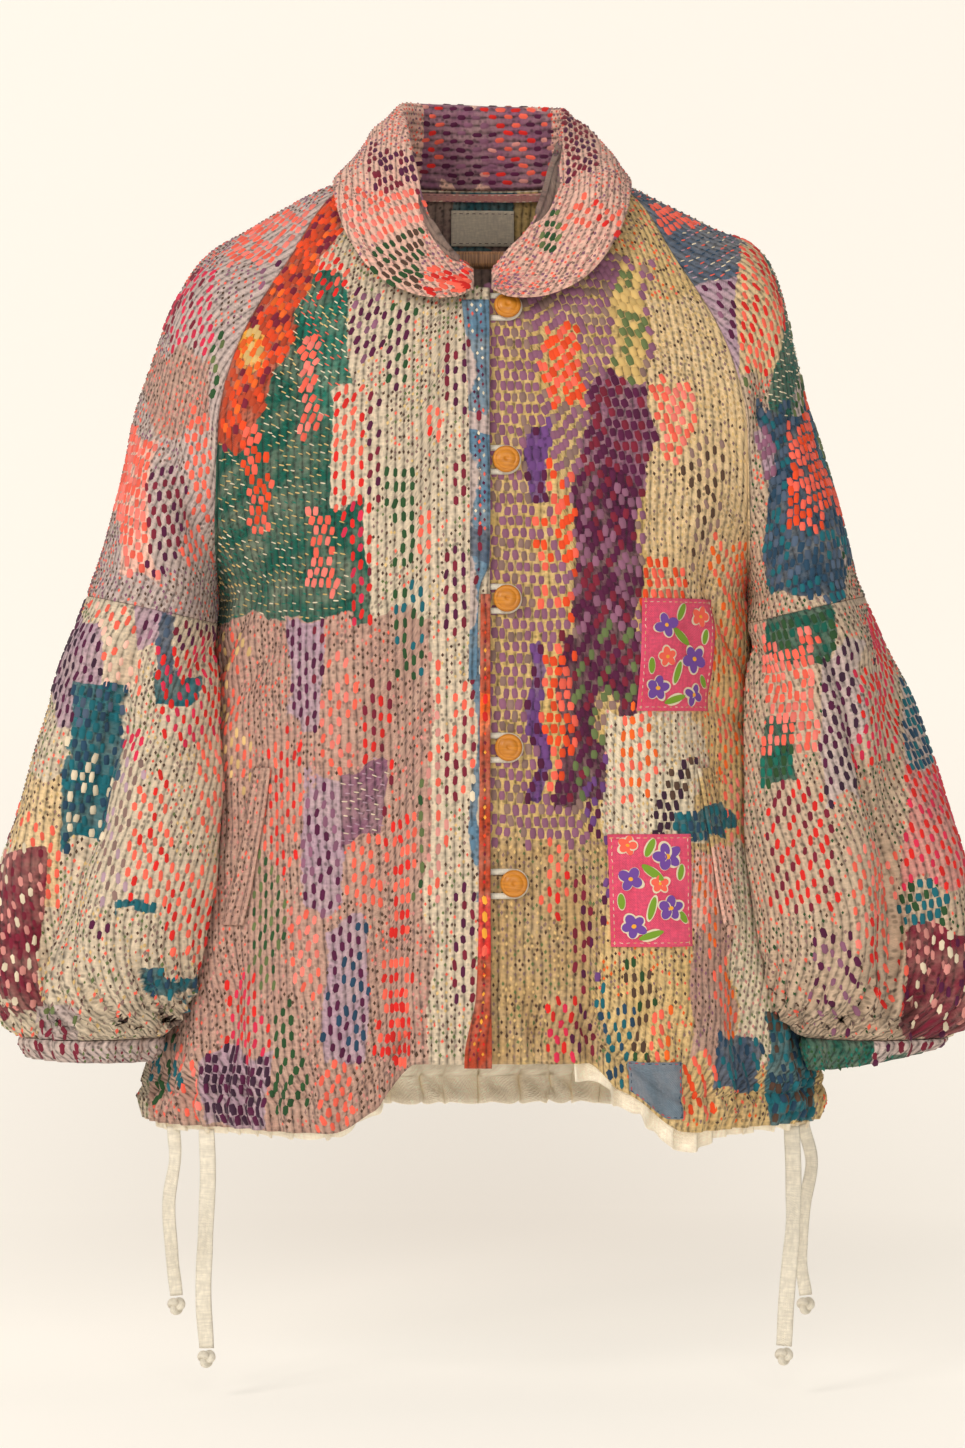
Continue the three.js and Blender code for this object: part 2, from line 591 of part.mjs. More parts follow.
// Push a point that would enter the body out to a little off its surface
function clearBody(p, clearance, amount) {
  if (amount <= 0 || p.z > UNDERARM_Z + 40) return;
  const { half, depth } = section(Math.min(p.z, UNDERARM_Z), p.y < 0 ? -1 : 1);
  const power = BODY_SQUARENESS;
  const level = (Math.abs(p.x) / (half + clearance)) ** power
    + (Math.abs(p.y) / (depth + clearance)) ** power;
  if (level >= 1) return;
  const scale = mix(1, level ** (-1 / power), amount);
  p.x *= scale;
  p.y *= scale;
}

// Shared directions at seams, so that neighbouring walls meet on one face
const bodySurfaces = { right: bodySurface(-1, -1), left: bodySurface(-1, 1), back: bodySurface(1, 0) };
const sleeveSurfaces = { right: sleeveSurface(-1), left: sleeveSurface(1) };

function rawNormal(point, u, v, limits) {
  const h = 0.01;
  const du = point(Math.min(limits.u1, u + h), v).sub(point(Math.max(limits.u0, u - h), v));
  const dv = point(u, Math.min(limits.v1, v + h)).sub(point(u, Math.max(limits.v0, v - h)));
  return du.cross(dv).normalize();
}

// Direction of the raglan seam's face at t, for the front (face -1) or back (face 1)
function raglanNormal(side, face, t) {
  const name = side < 0 ? 'right' : 'left';
  const v = seamV(t);
  const panel = face < 0 ? bodySurfaces[name] : bodySurfaces.back;
  const edge = face < 0 ? 1 : side;
  const body = rawNormal(panel, edge, v, { u0: face < 0 ? 0 : -1, u1: 1, v0: 0, v1: 1 });
  const turn = face < 0 ? side : 1;
  body.multiplyScalar(turn);
  if (body.y * face < 0) body.negate();
  const sleeve = rawNormal(sleeveSurfaces[name], face < 0 ? 0 : 1, t, { u0: 0, u1: 1, v0: 0, v1: 2 });
  const out = sleeveOut(side, sleeve);
  const down = UNDERARM_TURN * step(0.78, 1, t);
  return body.add(out).add(vec(0, 0, -down)).normalize();
}

// A sleeve normal turned so that it points out of the sleeve
const sleeveOut = (side, n) => (side < 0 ? n : n.negate());

// Direction of the neck seam's face at a point of it
function neckNormal(p) {
  const { least, sides, spread: width, centreY } = NECK_TILT;
  const fromSide = Math.atan2(Math.abs(p.x), p.y - centreY) / Math.PI - 0.5;
  const lift = least + sides * Math.exp(-(fromSide ** 2) / width);
  return vec(p.x, p.y - centreY, 0).normalize().add(vec(0, 0, lift)).normalize();
}

function bodyNormalAt(face, side) {
  const point = face > 0 ? bodySurfaces.back : bodySurfaces[side < 0 ? 'right' : 'left'];
  return (q, v) => {
    const across = Math.abs(q);
    const half = face > 0 ? Math.sign(q) || 1 : side;
    if (v >= 1 - 1e-6) return neckNormal(point(q, v));
    if (across < 1 - 1e-6) {
      const n = rawNormal(point, q, v, { u0: face > 0 ? -1 : 0, u1: 1, v0: 0, v1: 1 });
      if (n.y * face < 0) n.negate();
      return n;
    }
    if (v < UNDERARM_V - 1e-6) return vec(half, 0, 0);
    return raglanNormal(half, face, 1 - (v - UNDERARM_V) / (1 - UNDERARM_V));
  };
}

function sleeveNormalAt(side) {
  const point = sleeveSurfaces[side < 0 ? 'right' : 'left'];
  return (u, t) => {
    if (t <= 1e-6) return neckNormal(point(u, t));
    const seam = u < 1e-6 || u > 1 - 1e-6;
    if (seam && t <= 1 + 1e-6) return raglanNormal(side, u < 0.5 ? -1 : 1, t);
    const closed = t > 1.02 && seam;
    const low = rawNormal(point, u, t, { u0: 0, u1: 1, v0: 0, v1: 2 });
    if (!closed) return sleeveOut(side, low);
    const other = rawNormal(point, 1 - u, t, { u0: 0, u1: 1, v0: 0, v1: 2 });
    return sleeveOut(side, low.add(other).normalize());
  };
}

function addBody() {
  const frontRows = bodyRows(0);
  const seams = { u1: 0.6, v1: 0.6 };
  [['front_right', -1], ['front_left', 1]].forEach(([name, side]) => {
    const geometry = wall({
      rows: frontRows,
      point: bodySurfaces[side < 0 ? 'right' : 'left'],
      normalAt: bodyNormalAt(-1, side),
      inset: seams,
    });
    addMesh(name, geometry, COLOURS.cloth);
  });
  addMesh('back', wall({
    rows: bodyRows(-1),
    point: bodySurfaces.back,
    normalAt: bodyNormalAt(1, 0),
    inset: { u0: 0.9, u1: 0.9, v1: 0.6 },
  }), COLOURS.cloth);
}

const SLEEVE_SEAM_T = 1.06;
const SLEEVE_LOW_T = [1.12, 1.2, 1.3, 1.4, 1.5, 1.6, 1.7, 1.78, 1.85];
const SLEEVE_GATHER_T = [1.91, 1.96, 2];
const SLEEVE_COLUMNS = 20;
const SLEEVE_NECK_COLUMNS = 5;
function sleeveColumns(t) {
  return Math.round(mix(SLEEVE_NECK_COLUMNS, SLEEVE_COLUMNS, step(0, 0.75, t)));
}

function addSleeves() {
  [['right', -1], ['left', 1]].forEach(([name, side]) => {
    const point = sleeveSurfaces[name];
    const normalAt = sleeveNormalAt(side);
    const capT = [...SEAM_T].reverse();
    const upper = [...capT, SLEEVE_SEAM_T].map((t) => ({ v: t, us: spread(0, 1, sleeveColumns(t)) }));
    addMesh(`sleeve_${name}_upper`, wall({
      rows: upper, point, normalAt, inset: { u0: 0.9, u1: 0.9, v0: 0.6, v1: 1.2 },
    }), COLOURS.sleeve);
    const lower = [
      ...[SLEEVE_SEAM_T, ...SLEEVE_LOW_T].map((v) => ({ v, us: spread(0, 1, SLEEVE_COLUMNS) })),
      ...SLEEVE_GATHER_T.map((v) => ({ v, us: spread(0, 1, CUFF_WAVES * SAMPLES_PER_WAVE) })),
    ];
    addMesh(`sleeve_${name}_lower`, wall({
      rows: lower, point, normalAt, inset: { u0: 0.6, u1: 0.6, v0: 1.2, v1: 1 },
    }), COLOURS.sleeve);
    addCuff(name, side);
  });
}

// Cuff band: carries the sleeve's end on downwards and a little inwards
function addCuff(name, side) {
  const end = sleeveSurfaces[name];
  const centre = end(0, 2).add(end(0.5, 2)).multiplyScalar(0.5);
  const point = (u, v) => {
    const p = end(u, 2);
    const inward = CUFF_DRAW_IN * smooth(v) - CUFF_BELLY * Math.sin(Math.PI * v);
    const outside = side * (p.x - centre.x);
    p.z += v * (CUFF_TILT[name] * outside - CUFF_HEIGHT);
    p.x = mix(p.x, centre.x, inward);
    p.y = mix(p.y, centre.y, inward);
    return p;
  };
  const rows = [0, 0.5, 1].map((v) => ({ v, us: spread(0, 1, CUFF_WAVES * SAMPLES_PER_WAVE) }));
  const limits = { u0: 0, u1: 1, v0: 0, v1: 1 };
  const sleeveNormal = sleeveNormalAt(side);
  const normalAt = (u, v) => {
    if (v < 1e-6) return sleeveNormal(u, 2);
    const n = rawNormal(point, u, v, limits);
    if (u < 1e-6 || u > 1 - 1e-6) n.add(rawNormal(point, 1 - u, v, limits)).normalize();
    return sleeveOut(side, n);
  };
  const geometry = wall({ rows, point, normalAt, inset: { u0: 0.6, u1: 0.6, v0: 1 } });
  addMesh(`cuff_${name}`, geometry, COLOURS.sleeve);
}

// Places round the neck seam from a front end to the centre back, with the share of the way, m
function neckRing(side) {
  const name = side < 0 ? 'right' : 'left';
  const front = spread(0, 1, NECK_COLUMNS).slice(1).map((q) => bodySurfaces[name](q, 1));
  const top = spread(0, 1, SLEEVE_NECK_COLUMNS).slice(1).map((u) => sleeveSurfaces[name](u, 0));
  const back = spread(1, 0, NECK_COLUMNS).slice(1).map((q) => bodySurfaces.back(side * q, 1));
  const points = [...front, ...top, ...back];
  let length = 0;
  const ring = points.map((p, i) => {
    if (i > 0) length += p.distanceTo(points[i - 1]);
    return { m: length, p };
  });
  ring.forEach((place) => { place.m /= length; });
  return ring;
}

// Collar surface: u round the neck from the right front end over the back to the left one,
// v from the neck seam up the stand, over the roll and down the fall
function collarSurface(rings) {
  return (u, v) => {
    const side = u <= 0 ? -1 : 1;
    const m = 1 - Math.abs(u);
    const ring = rings[side];
    let i = 0;
    while (i < ring.length - 2 && ring[i + 1].m < m) i += 1;
    const share = (m - ring[i].m) / (ring[i + 1].m - ring[i].m);
    const seat = ring[i].p.clone().lerp(ring[i + 1].p, share);
    const place = (name) => vec(
      side * column(COLLAR, 'm', `${name}X`, m),
      column(COLLAR, 'm', `${name}Y`, m),
      column(COLLAR, 'm', `${name}Z`, m),
    );
    const roll = place('roll');
    const edge = place('edge');
    const up = roll.clone().sub(seat).normalize();
    const base = seat.addScaledVector(neckNormal(seat), -CLOTH).addScaledVector(up, SEAM_GAP);
    const across = edge.clone().sub(base).normalize();
    const lift = roll.clone().sub(base.clone().lerp(edge, 0.5)).normalize();
    const radius = Math.min(COLLAR_ROLL_RADIUS, 0.3 * edge.distanceTo(base));
    const nearRoll = (way) => roll.clone()
      .addScaledVector(across, way * radius).addScaledVector(lift, -radius);
    const rollIn = nearRoll(-1);
    const rollOut = nearRoll(1);
    const bow = 0.05 * rollOut.distanceTo(edge);
    const fallMiddle = rollOut.clone().lerp(edge, 0.5).addScaledVector(lift.add(across), bow);
    return new THREE.CatmullRomCurve3([
      base, base.clone().lerp(rollIn, 0.5), rollIn, roll, rollOut, fallMiddle, edge,
    ], false, 'centripetal').getPoint(v);
  };
}

function addCollar() {
  const rings = { [-1]: neckRing(-1), [1]: neckRing(1) };
  const us = [
    ...rings[-1].map((place) => place.m - 1),
    ...rings[1].slice(0, -1).reverse().map((place) => 1 - place.m),
  ];
  const point = collarSurface(rings);
  const limits = { u0: us[0], u1: us[us.length - 1], v0: 0, v1: 1 };
  const normalAt = (u, v) => {
    if (v < 1e-6) return neckNormal(point(u, v)).negate();
    return rawNormal(point, u, v, limits);
  };
  const rows = [0, 0.17, 0.33, 0.42, 0.5, 0.58, 0.67, 0.83, 1].map((v) => ({ v, us }));
  addMesh('collar', wall({ rows, point, normalAt }), COLOURS.collar);
}

// A thin piece that follows the body's surface, lifted off it (or inside it, where lift is negative).
// place gives x, z and side at a share a across and b up.
function bodyCover({ name, face = -1, place, columns, rows, lift, thickness, color }) {
  const point = (a, b) => {
    const { x, z, side } = place(a, b);
    const out = lift + (lift < 0 ? 0 : thickness);
    return bodyPoint(x, z, face, side, bodyLift(x, z, face, side) + out);
  };
  const u1 = columns[columns.length - 1];
  const v1 = rows[rows.length - 1];
  const limits = { u0: columns[0], u1, v0: rows[0], v1 };
  const normalAt = (a, b) => {
    const n = rawNormal(point, a, b, limits);
    return n.y * face < 0 ? n.negate() : n;
  };
  const list = rows.map((v) => ({ v, us: columns }));
  addMesh(name, wall({ rows: list, point, normalAt, thickness }), color);
}

function addEdgePieces() {
  [['edge_strip', EDGE_STRIP, COLOURS.blue], ['edge_binding', EDGE_BINDING, COLOURS.orange]]
    .forEach(([name, table, color]) => {
      const low = table[0].z;
      const high = table[table.length - 1].z;
      bodyCover({
        name,
        place: (a, b) => {
          const z = mix(low, high, b);
          const x = RIGHT_EDGE_X + mix(column(table, 'z', 'from', z), column(table, 'z', 'to', z), a);
          return { x, z, side: -1 };
        },
        columns: [0, 0.5, 1],
        rows: spread(0, 1, Math.round((high - low) / 22)),
        lift: 0.5,
        thickness: STRIP_THICKNESS,
        color,
      });
    });
}

function addPatches() {
  PATCHES.forEach(({ name, x0, x1, z0, z1, lean, lift, colour }) => {
    bodyCover({
      name,
      place: (a, b) => ({ x: mix(x0, x1, a) + lean * (b - 0.5), z: mix(z0, z1, b), side: 1 }),
      columns: spread(0, 1, 4),
      rows: spread(0, 1, 5),
      lift,
      thickness: PATCH_THICKNESS,
      color: colour,
    });
  });
}

function addPockets() {
  [['pocket_right', -1], ['pocket_left', 1]].forEach(([name, side]) => {
    bodyCover({
      name,
      place: (a, b) => ({
        x: mix(POCKET.lowX, POCKET.topX, b) + POCKET.width * (a - 0.5),
        z: mix(POCKET.lowZ, POCKET.topZ, b),
        side,
      }),
      columns: [0, 0.5, 1],
      rows: spread(0, 1, 6),
      lift: POCKET_LIFT,
      thickness: POCKET.thickness,
      color: COLOURS.cloth,
    });
  });
}

// Label and neck tape inside the back
function addNeckPieces() {
  [['label', LABEL, COLOURS.label, 6], ['neck_tape', NECK_TAPE, COLOURS.cloth, 14]]
    .forEach(([name, size, color, count]) => {
      bodyCover({
        name,
        face: 1,
        place: (a, b) => {
          const x = mix(-size.halfWidth, size.halfWidth, a);
          return { x: Math.abs(x), z: mix(size.bottom, size.top, b), side: Math.sign(x) || 1 };
        },
        columns: spread(0, 1, count),
        rows: [0, 1],
        lift: size.lift,
        thickness: size.thickness,
        color,
      });
    });
}

// The drawstring casing inside the hem, in one length for each body panel
function addCasings() {
  [['right', -1, -1], ['left', -1, 1], ['back', 1, 0]].forEach(([name, face, side]) => {
    const all = spread(face > 0 ? -1 : 0, 1, FINE_COLUMNS * (face > 0 ? 2 : 1));
    const us = all.slice(CASING_END_COLUMNS, -CASING_END_COLUMNS);
    addMesh(`hem_casing_${name}`, wall({
      rows: [CASING_DROP_V, ...HEM_V.slice(1)].map((v) => ({ v, us })),
      point: bodySurfaces[name],
      normalAt: bodyNormalAt(face, side),
      thickness: CASING_THICKNESS,
      offset: CASING_OFFSET,
    }), COLOURS.cream);
  });
}

// Buttons on the left front, each with a loop from the right front's edge round its neck
function addButtons() {
  const profile = BUTTON_PROFILE.map(({ r, h }) => new THREE.Vector2(r, h));
  BUTTONS.forEach(({ x, z }, i) => {
    const at = (dx, dz) => bodyPoint(x + dx, z + dz, -1, 1, bodyLift(x + dx, z + dz, -1, 1));
    const seat = at(0, 0);
    const east = at(3, 0).sub(at(-3, 0)).normalize();
    const north = at(0, 3).sub(at(0, -3)).normalize();
    const out = east.clone().cross(north).normalize();
    north.crossVectors(out, east);
    const turn = new THREE.Matrix4().makeBasis(east, north, out);
    const disc = new THREE.LatheGeometry(profile, 13);
    disc.rotateX(Math.PI / 2);
    const button = addMesh(`button_${i + 1}`, disc, COLOURS.wood, 0.45);
    button.setRotationFromMatrix(turn);
    button.position.copy(seat).addScaledVector(out, SEAM_GAP);
    const tail = x + RIGHT_EDGE_X - 0.4;
    const loop = addMesh(`loop_${i + 1}`, loopGeometry(tail), COLOURS.cream);
    loop.setRotationFromMatrix(turn);
    loop.position.copy(seat).addScaledVector(out, 0.5);
  });
}

// Flat U-shaped loop round a button's neck, its two ends reaching back by the tail's length
function loopGeometry(tail) {
  const shape = new THREE.Shape();
  shape.moveTo(-tail, LOOP_OUTER_RADIUS);
  shape.lineTo(0, LOOP_OUTER_RADIUS);
  shape.absarc(0, 0, LOOP_OUTER_RADIUS, Math.PI / 2, -Math.PI / 2, true);
  shape.lineTo(-tail, -LOOP_OUTER_RADIUS);
  shape.lineTo(-tail, -LOOP_INNER_RADIUS);
  shape.lineTo(0, -LOOP_INNER_RADIUS);
  shape.absarc(0, 0, LOOP_INNER_RADIUS, -Math.PI / 2, Math.PI / 2, false);
  shape.lineTo(-tail, LOOP_INNER_RADIUS);
  return new THREE.ExtrudeGeometry(shape, {
    depth: LOOP_THICKNESS,
    bevelEnabled: false,
    curveSegments: 6,
  });
}

// The wooden bar, with rounded ends
function addBar() {
  const halfDepth = BAR_DEPTH / 2 - BAR_ROUNDING;
  const halfHeight = BAR_HEIGHT / 2 - BAR_ROUNDING;
  const shape = new THREE.Shape();
  shape.moveTo(halfHeight, -halfDepth);
  shape.lineTo(halfHeight, halfDepth);
  shape.lineTo(-halfHeight, halfDepth);
  shape.lineTo(-halfHeight, -halfDepth);
  const geometry = new THREE.ExtrudeGeometry(shape, {
    depth: 2 * (BAR_HALF_LENGTH - BAR_ROUNDING),
    bevelSize: BAR_ROUNDING,
    bevelThickness: BAR_ROUNDING,
    bevelSegments: 3,
  });
  geometry.rotateY(Math.PI / 2);
  geometry.translate(-(BAR_HALF_LENGTH - BAR_ROUNDING), 0, -BAR_HEIGHT / 2);
  addMesh('hanger_bar', geometry, COLOURS.bar, 0.5);
}

// The drawcord's four hanging tapes and their knots
function addTapes() {
  TAPES.forEach(({ width, route }, i) => {
    const path = new THREE.CatmullRomCurve3(route.map(([x, y, z]) => vec(x, y, z)));
    const steps = 8;
    const frames = path.computeFrenetFrames(steps, false);
    const turn = Math.atan2(frames.binormals[0].x, frames.normals[0].x);
    const outline = [
      [0.5, 0.25], [0.42, 0.5], [-0.42, 0.5], [-0.5, 0.25],
      [-0.5, -0.25], [-0.42, -0.5], [0.42, -0.5], [0.5, -0.25],
    ].map(([a, b]) => new THREE.Vector2(a * width, b * TAPE_THICKNESS)
      .rotateAround(new THREE.Vector2(), turn));
    const geometry = new THREE.ExtrudeGeometry(new THREE.Shape(outline), { steps, extrudePath: path });
    addMesh(`tape_${i + 1}`, geometry, COLOURS.cream);
    const [x, y, z] = route[route.length - 1];
    const knot = addMesh(`knot_${i + 1}`, new THREE.SphereGeometry(KNOT.radius, 10, 7), COLOURS.cream);
    knot.scale.set(1, KNOT.squashY, KNOT.squashZ);
    knot.position.set(x, y, z - KNOT.squashZ * KNOT.radius - SEAM_GAP);
  });
}

addBody();
addSleeves();
addCollar();
addEdgePieces();
addPatches();
addPockets();
addNeckPieces();
addCasings();
addButtons();
addBar();
addTapes();

export default jacket;
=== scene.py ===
"""Looks of a kantha bomber jacket that hangs filled out on a wooden bar.

Lengths are millimetres until a mesh is made, and metres in Blender.
"""
import math
from collections import namedtuple

import bpy
import numpy as np
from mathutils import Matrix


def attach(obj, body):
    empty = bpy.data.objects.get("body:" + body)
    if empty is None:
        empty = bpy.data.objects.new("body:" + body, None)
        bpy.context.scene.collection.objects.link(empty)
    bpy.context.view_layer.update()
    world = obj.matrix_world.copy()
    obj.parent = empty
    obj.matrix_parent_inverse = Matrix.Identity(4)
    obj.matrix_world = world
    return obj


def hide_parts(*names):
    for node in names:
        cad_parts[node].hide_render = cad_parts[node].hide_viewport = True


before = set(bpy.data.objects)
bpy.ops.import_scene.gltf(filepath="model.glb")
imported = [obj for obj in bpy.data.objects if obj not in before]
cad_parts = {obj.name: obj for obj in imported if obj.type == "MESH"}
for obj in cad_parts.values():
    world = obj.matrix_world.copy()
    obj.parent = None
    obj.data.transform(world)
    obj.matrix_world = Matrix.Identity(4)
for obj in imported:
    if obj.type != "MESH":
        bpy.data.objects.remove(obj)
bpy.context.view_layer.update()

bl_info = {
    "name": "Kantha bomber jacket",
    "version": (1, 0, 0),
    "blender": (4, 5, 0),
    "location": "3D View > Sidebar > Jacket",
    "description": "Quilted patchwork jacket with raglan sleeves, hanging filled out on a wooden bar",
    "category": "Add Mesh",
}

BODY = "root"
METRE = 0.001

# The picture's frame: its size and centre in pixels, the camera's distance, and pixels for a slope of one
FRAME_WIDTH = 965
FRAME_HEIGHT = 1448
CENTRE_X = 482.5
CENTRE_Y = 724
CAMERA_DISTANCE = 2800
CAMERA_Z = -330
PIXELS_PER_SLOPE = 4000

# Cloth and seams
CLOTH = 3
SHELL = 2.2
SEAM_GAP = 0.3
EDGE_DRAW_BACK = 0.5
EDGE_ROUNDING = 0.45
GRID_STEP = 3.6
ROW_PITCH = 5.8

# Driving dimensions of the body, as in the part's source
UNDERARM_Z = -245
FRONT_NECK_Z = -33
NECK_HALF_WIDTH = 74
NECK_SIDE_Z = 49
BACK_NECK_HALF_WIDTH = 68
BACK_NECK_Z = 52
HEM_Z = -604
HEM_CENTRE_Z = -557
HEM_BAND = 22
BODY_SQUARENESS = 2.2
EDGE_X = {-1: -5, 1: -7}
UNDERLAP = {"depth": 4.6, "full_to": 34, "gone_by": 60}
HEM_TURNS = 7.64
HEM_WAVE_DEPTH = 2.2
HEM_PUFF = 2
HEM_GATHER_REACH = 60
LEFT_WAVE_SHIFT = 0.37
UNDERARM_V = 0.6
CUFF_WAVES = 17
CUFF_WAVE_DEPTH = 2.6
CUFF_HEIGHT = 16
CUFF_TILT = {-1: 0.02, 1: 0.16}
CUFF_DRAW_IN = 0.1
CUFF_BELLY = 0.05
FOLD_REACH = 85
FOLD_BULGE = 0.05
FOLD_BULGE_AT = 1.7
NECK_TILT = {"least": 0.25, "sides": 0.65, "spread": 0.02, "centre_y": -5}
BODY_CLEARANCE = 5
SLEEVE_SEAM_T = 1.06
COLLAR_START_Q = 1 / 7
COLLAR_ROLL_RADIUS = 7


def table(columns, *rows):
    """A short table with named columns; the first column is its key"""
    names = columns.split()
    data = {name: np.array([row[i] for row in rows], float) for i, name in enumerate(names)}
    data["key"] = data[names[0]]
    return data


# Half depth of the body in front of and behind the bar, by height
DEPTHS = table(
    "z front back",
    (-604, 133, 134), (-585, 138, 140), (-540, 136, 139), (-450, 130, 134), (-350, 124, 128),
    (-245, 117, 120), (-165, 108, 114), (-110, 100, 109), (-60, 90, 103), (-30, 81, 97),
    (0, 72, 88), (30, 59, 76), (53, 51, 66),
)

# Half width of the body below the underarm, by height
WIDTHS = table(
    "z half",
    (-604, 233), (-585, 238), (-540, 227), (-450, 212), (-350, 198), (-245, 184),
)

# Raglan seams from the neck (t = 0) to the underarm (t = 1)
RAGLAN = table(
    "t frontX frontY frontZ backX backY backZ",
    (0, 74, -30, 49, 68, 40, 53),
    (0.1, 105, -40, 34, 99, 60, 34),
    (0.24, 131, -62, -9, 122, 80, 0),
    (0.41, 162, -80, -62, 150, 96, -55),
    (0.56, 178, -86, -113, 168, 100, -108),
    (0.71, 181, -75, -168, 180, 85, -165),
    (0.86, 183, -44, -217, 183, 47, -216),
    (1, 184, 0, -245, 184, 0, -245),
)

# Sleeve sections: top or outer line, half depth, opening angle, and how much narrower the left one is
SLEEVE = table(
    "t outX outY outZ depth open leftIn",
    (0, 80, 5, 53, 49, 45, 0),
    (0.1, 121, 5, 36, 61, 55, 0),
    (0.24, 157, 3, 19, 80, 62, 0),
    (0.41, 193, 0, -3, 95, 68, 1),
    (0.56, 215, 0, -40, 94, 80, 6),
    (0.71, 239, -2, -110, 88, 110, 10),
    (0.86, 256, -4, -170, 87, 148, 11),
    (1, 270, -5, -222, 88, 180, 9),
    (1.15, 282, -8, -268, 90, 180, 5),
    (1.3, 296, -10, -318, 90, 180, 2),
    (1.5, 315, -12, -383, 88, 180, -2),
    (1.65, 329, -15, -430, 86, 180, -3),
    (1.8, 338, -20, -480, 82, 180, -2),
    (1.9, 337, -26, -515, 74, 180, 0),
    (1.97, 327, -32, -537, 60, 180, 0),
    (2, 317, -35, -545, 49, 180, 0),
)

# Inner (underarm) line of the sleeve below the underarm
SLEEVE_INNER = table(
    "t x y z",
    (1, 184, 0, -245), (1.15, 174, -18, -286), (1.3, 168, -28, -331), (1.5, 165, -38, -393),
    (1.65, 167, -44, -438), (1.8, 174, -48, -482), (1.9, 187, -50, -517), (1.97, 203, -52, -537),
    (2, 217, -54, -544),
)

# The deep fold that parts each lower sleeve into a front and a rear lobe
SLEEVE_FOLD = {
    -1: table(
        "t angle depth width",
        (0.75, -88, 0, 24), (1.15, -86, 9, 23), (1.5, -74, 22, 21),
        (1.8, -56, 32, 20), (1.93, -52, 28, 22), (2, -50, 10, 30),
    ),
    1: table(
        "t angle depth width",
        (0.75, -10, 0, 24), (1.15, -28, 10, 23), (1.5, -64, 20, 21),
        (1.8, -74, 30, 20), (1.93, -70, 26, 22), (2, -64, 10, 30),
    ),
}

# Vertical folds of the body: where each starts and ends, and how far it stands out or in
BodyFold = namedtuple("BodyFold", "face side topX topZ lowX height width")
BODY_FOLDS = [
    BodyFold(-1, -1, 92, -60, 120, 8, 26),
    BodyFold(-1, -1, 52, -150, 62, -7, 17),
    BodyFold(-1, -1, 150, -230, 176, -6, 18),
    BodyFold(-1, 1, 96, -80, 134, 8, 28),
    BodyFold(-1, 1, 58, -180, 72, -6, 18),
    BodyFold(-1, 1, 152, -210, 182, -6, 18),
    BodyFold(1, -1, 60, -40, 92, 7, 26),
    BodyFold(1, -1, 110, -150, 150, -6, 22),
    BodyFold(1, 1, 56, -60, 84, 7, 28),
    BodyFold(1, 1, 104, -130, 146, -6, 22),
]

# How the fronts' hem drops from the centre height to the hem height: shares of the drop, by x
HemDrop = namedtuple("HemDrop", "side share start end")
HEM_DROP = [
    HemDrop(-1, 0.6, 46, 72),
    HemDrop(-1, 0.4, 60, 100),
    HemDrop(1, 0.35, 72, 90),
    HemDrop(1, 0.65, 84, 135),
]

# Rolled collar from a front end (m = 0) to the centre back (m = 1)
COLLAR = table(
    "m rollX rollY rollZ edgeX edgeY edgeZ",
    (0, 6, -83, -21, 6, -94, -35),
    (0.1, 18, -84, -10, 20, -97, -41),
    (0.22, 31, -79, 6, 46, -97, -39),
    (0.34, 40, -66, 27, 73, -93, -24),
    (0.46, 47, -46, 53, 93, -78, 5),
    (0.58, 54, -16, 82, 103, -45, 38),
    (0.7, 57, 16, 103, 101, 16, 55),
    (0.82, 47, 42, 109, 83, 68, 53),
    (0.92, 24, 54, 111, 42, 90, 47),
    (1, 0, 57, 111, 0, 96, 45),
)

# Buttons down the left front, and the bands of the front edge
BUTTONS = table("x z", (17, -47), (16, -152), (16.5, -246), (17.5, -346), (21, -437))
EDGE_STRIP = table(
    "z from to",
    (-300, 9, 14), (-246, 7.8, 13), (-236, 6.5, 13), (-222, 0.8, 13), (-120, 0.6, 14),
    (-60, 0.6, 17), (-42, 0.6, 19),
)
EDGE_BINDING = table(
    "z from to",
    (-559, -1, 17), (-545, -1, 16), (-510, -0.5, 9), (-400, 0, 7), (-243, 0, 6),
)

# Tapes: width, and the route of each from the hem casing down to its knot
TAPE_THICKNESS = 1.6
TAPES = [
    (9, [(-212, -56, -605.75), (-211, -57, -628), (-215, -58, -658), (-213, -57, -692), (-210, -56, -722)]),
    (11, [(-188, -76, -605.75), (-187, -77, -638), (-189, -77, -684), (-190, -77, -722), (-188, -76, -755)]),
    (11, [(212, -57, -605.75), (213, -60, -638), (212, -63, -676), (208, -66, -720), (206, -66, -755)]),
    (9, [(221, -42, -605.75), (227, -40, -632), (222, -38, -664), (220, -39, -698), (223, -40, -724)]),
]
KNOT = {"radius": 7, "squashY": 0.85, "squashZ": 0.95}


def linear(*colour):
    """Screen colour to the linear one that Blender's nodes use"""
    return tuple(c / 12.92 if c <= 0.04045 else ((c + 0.055) / 1.055) ** 2.4 for c in colour)


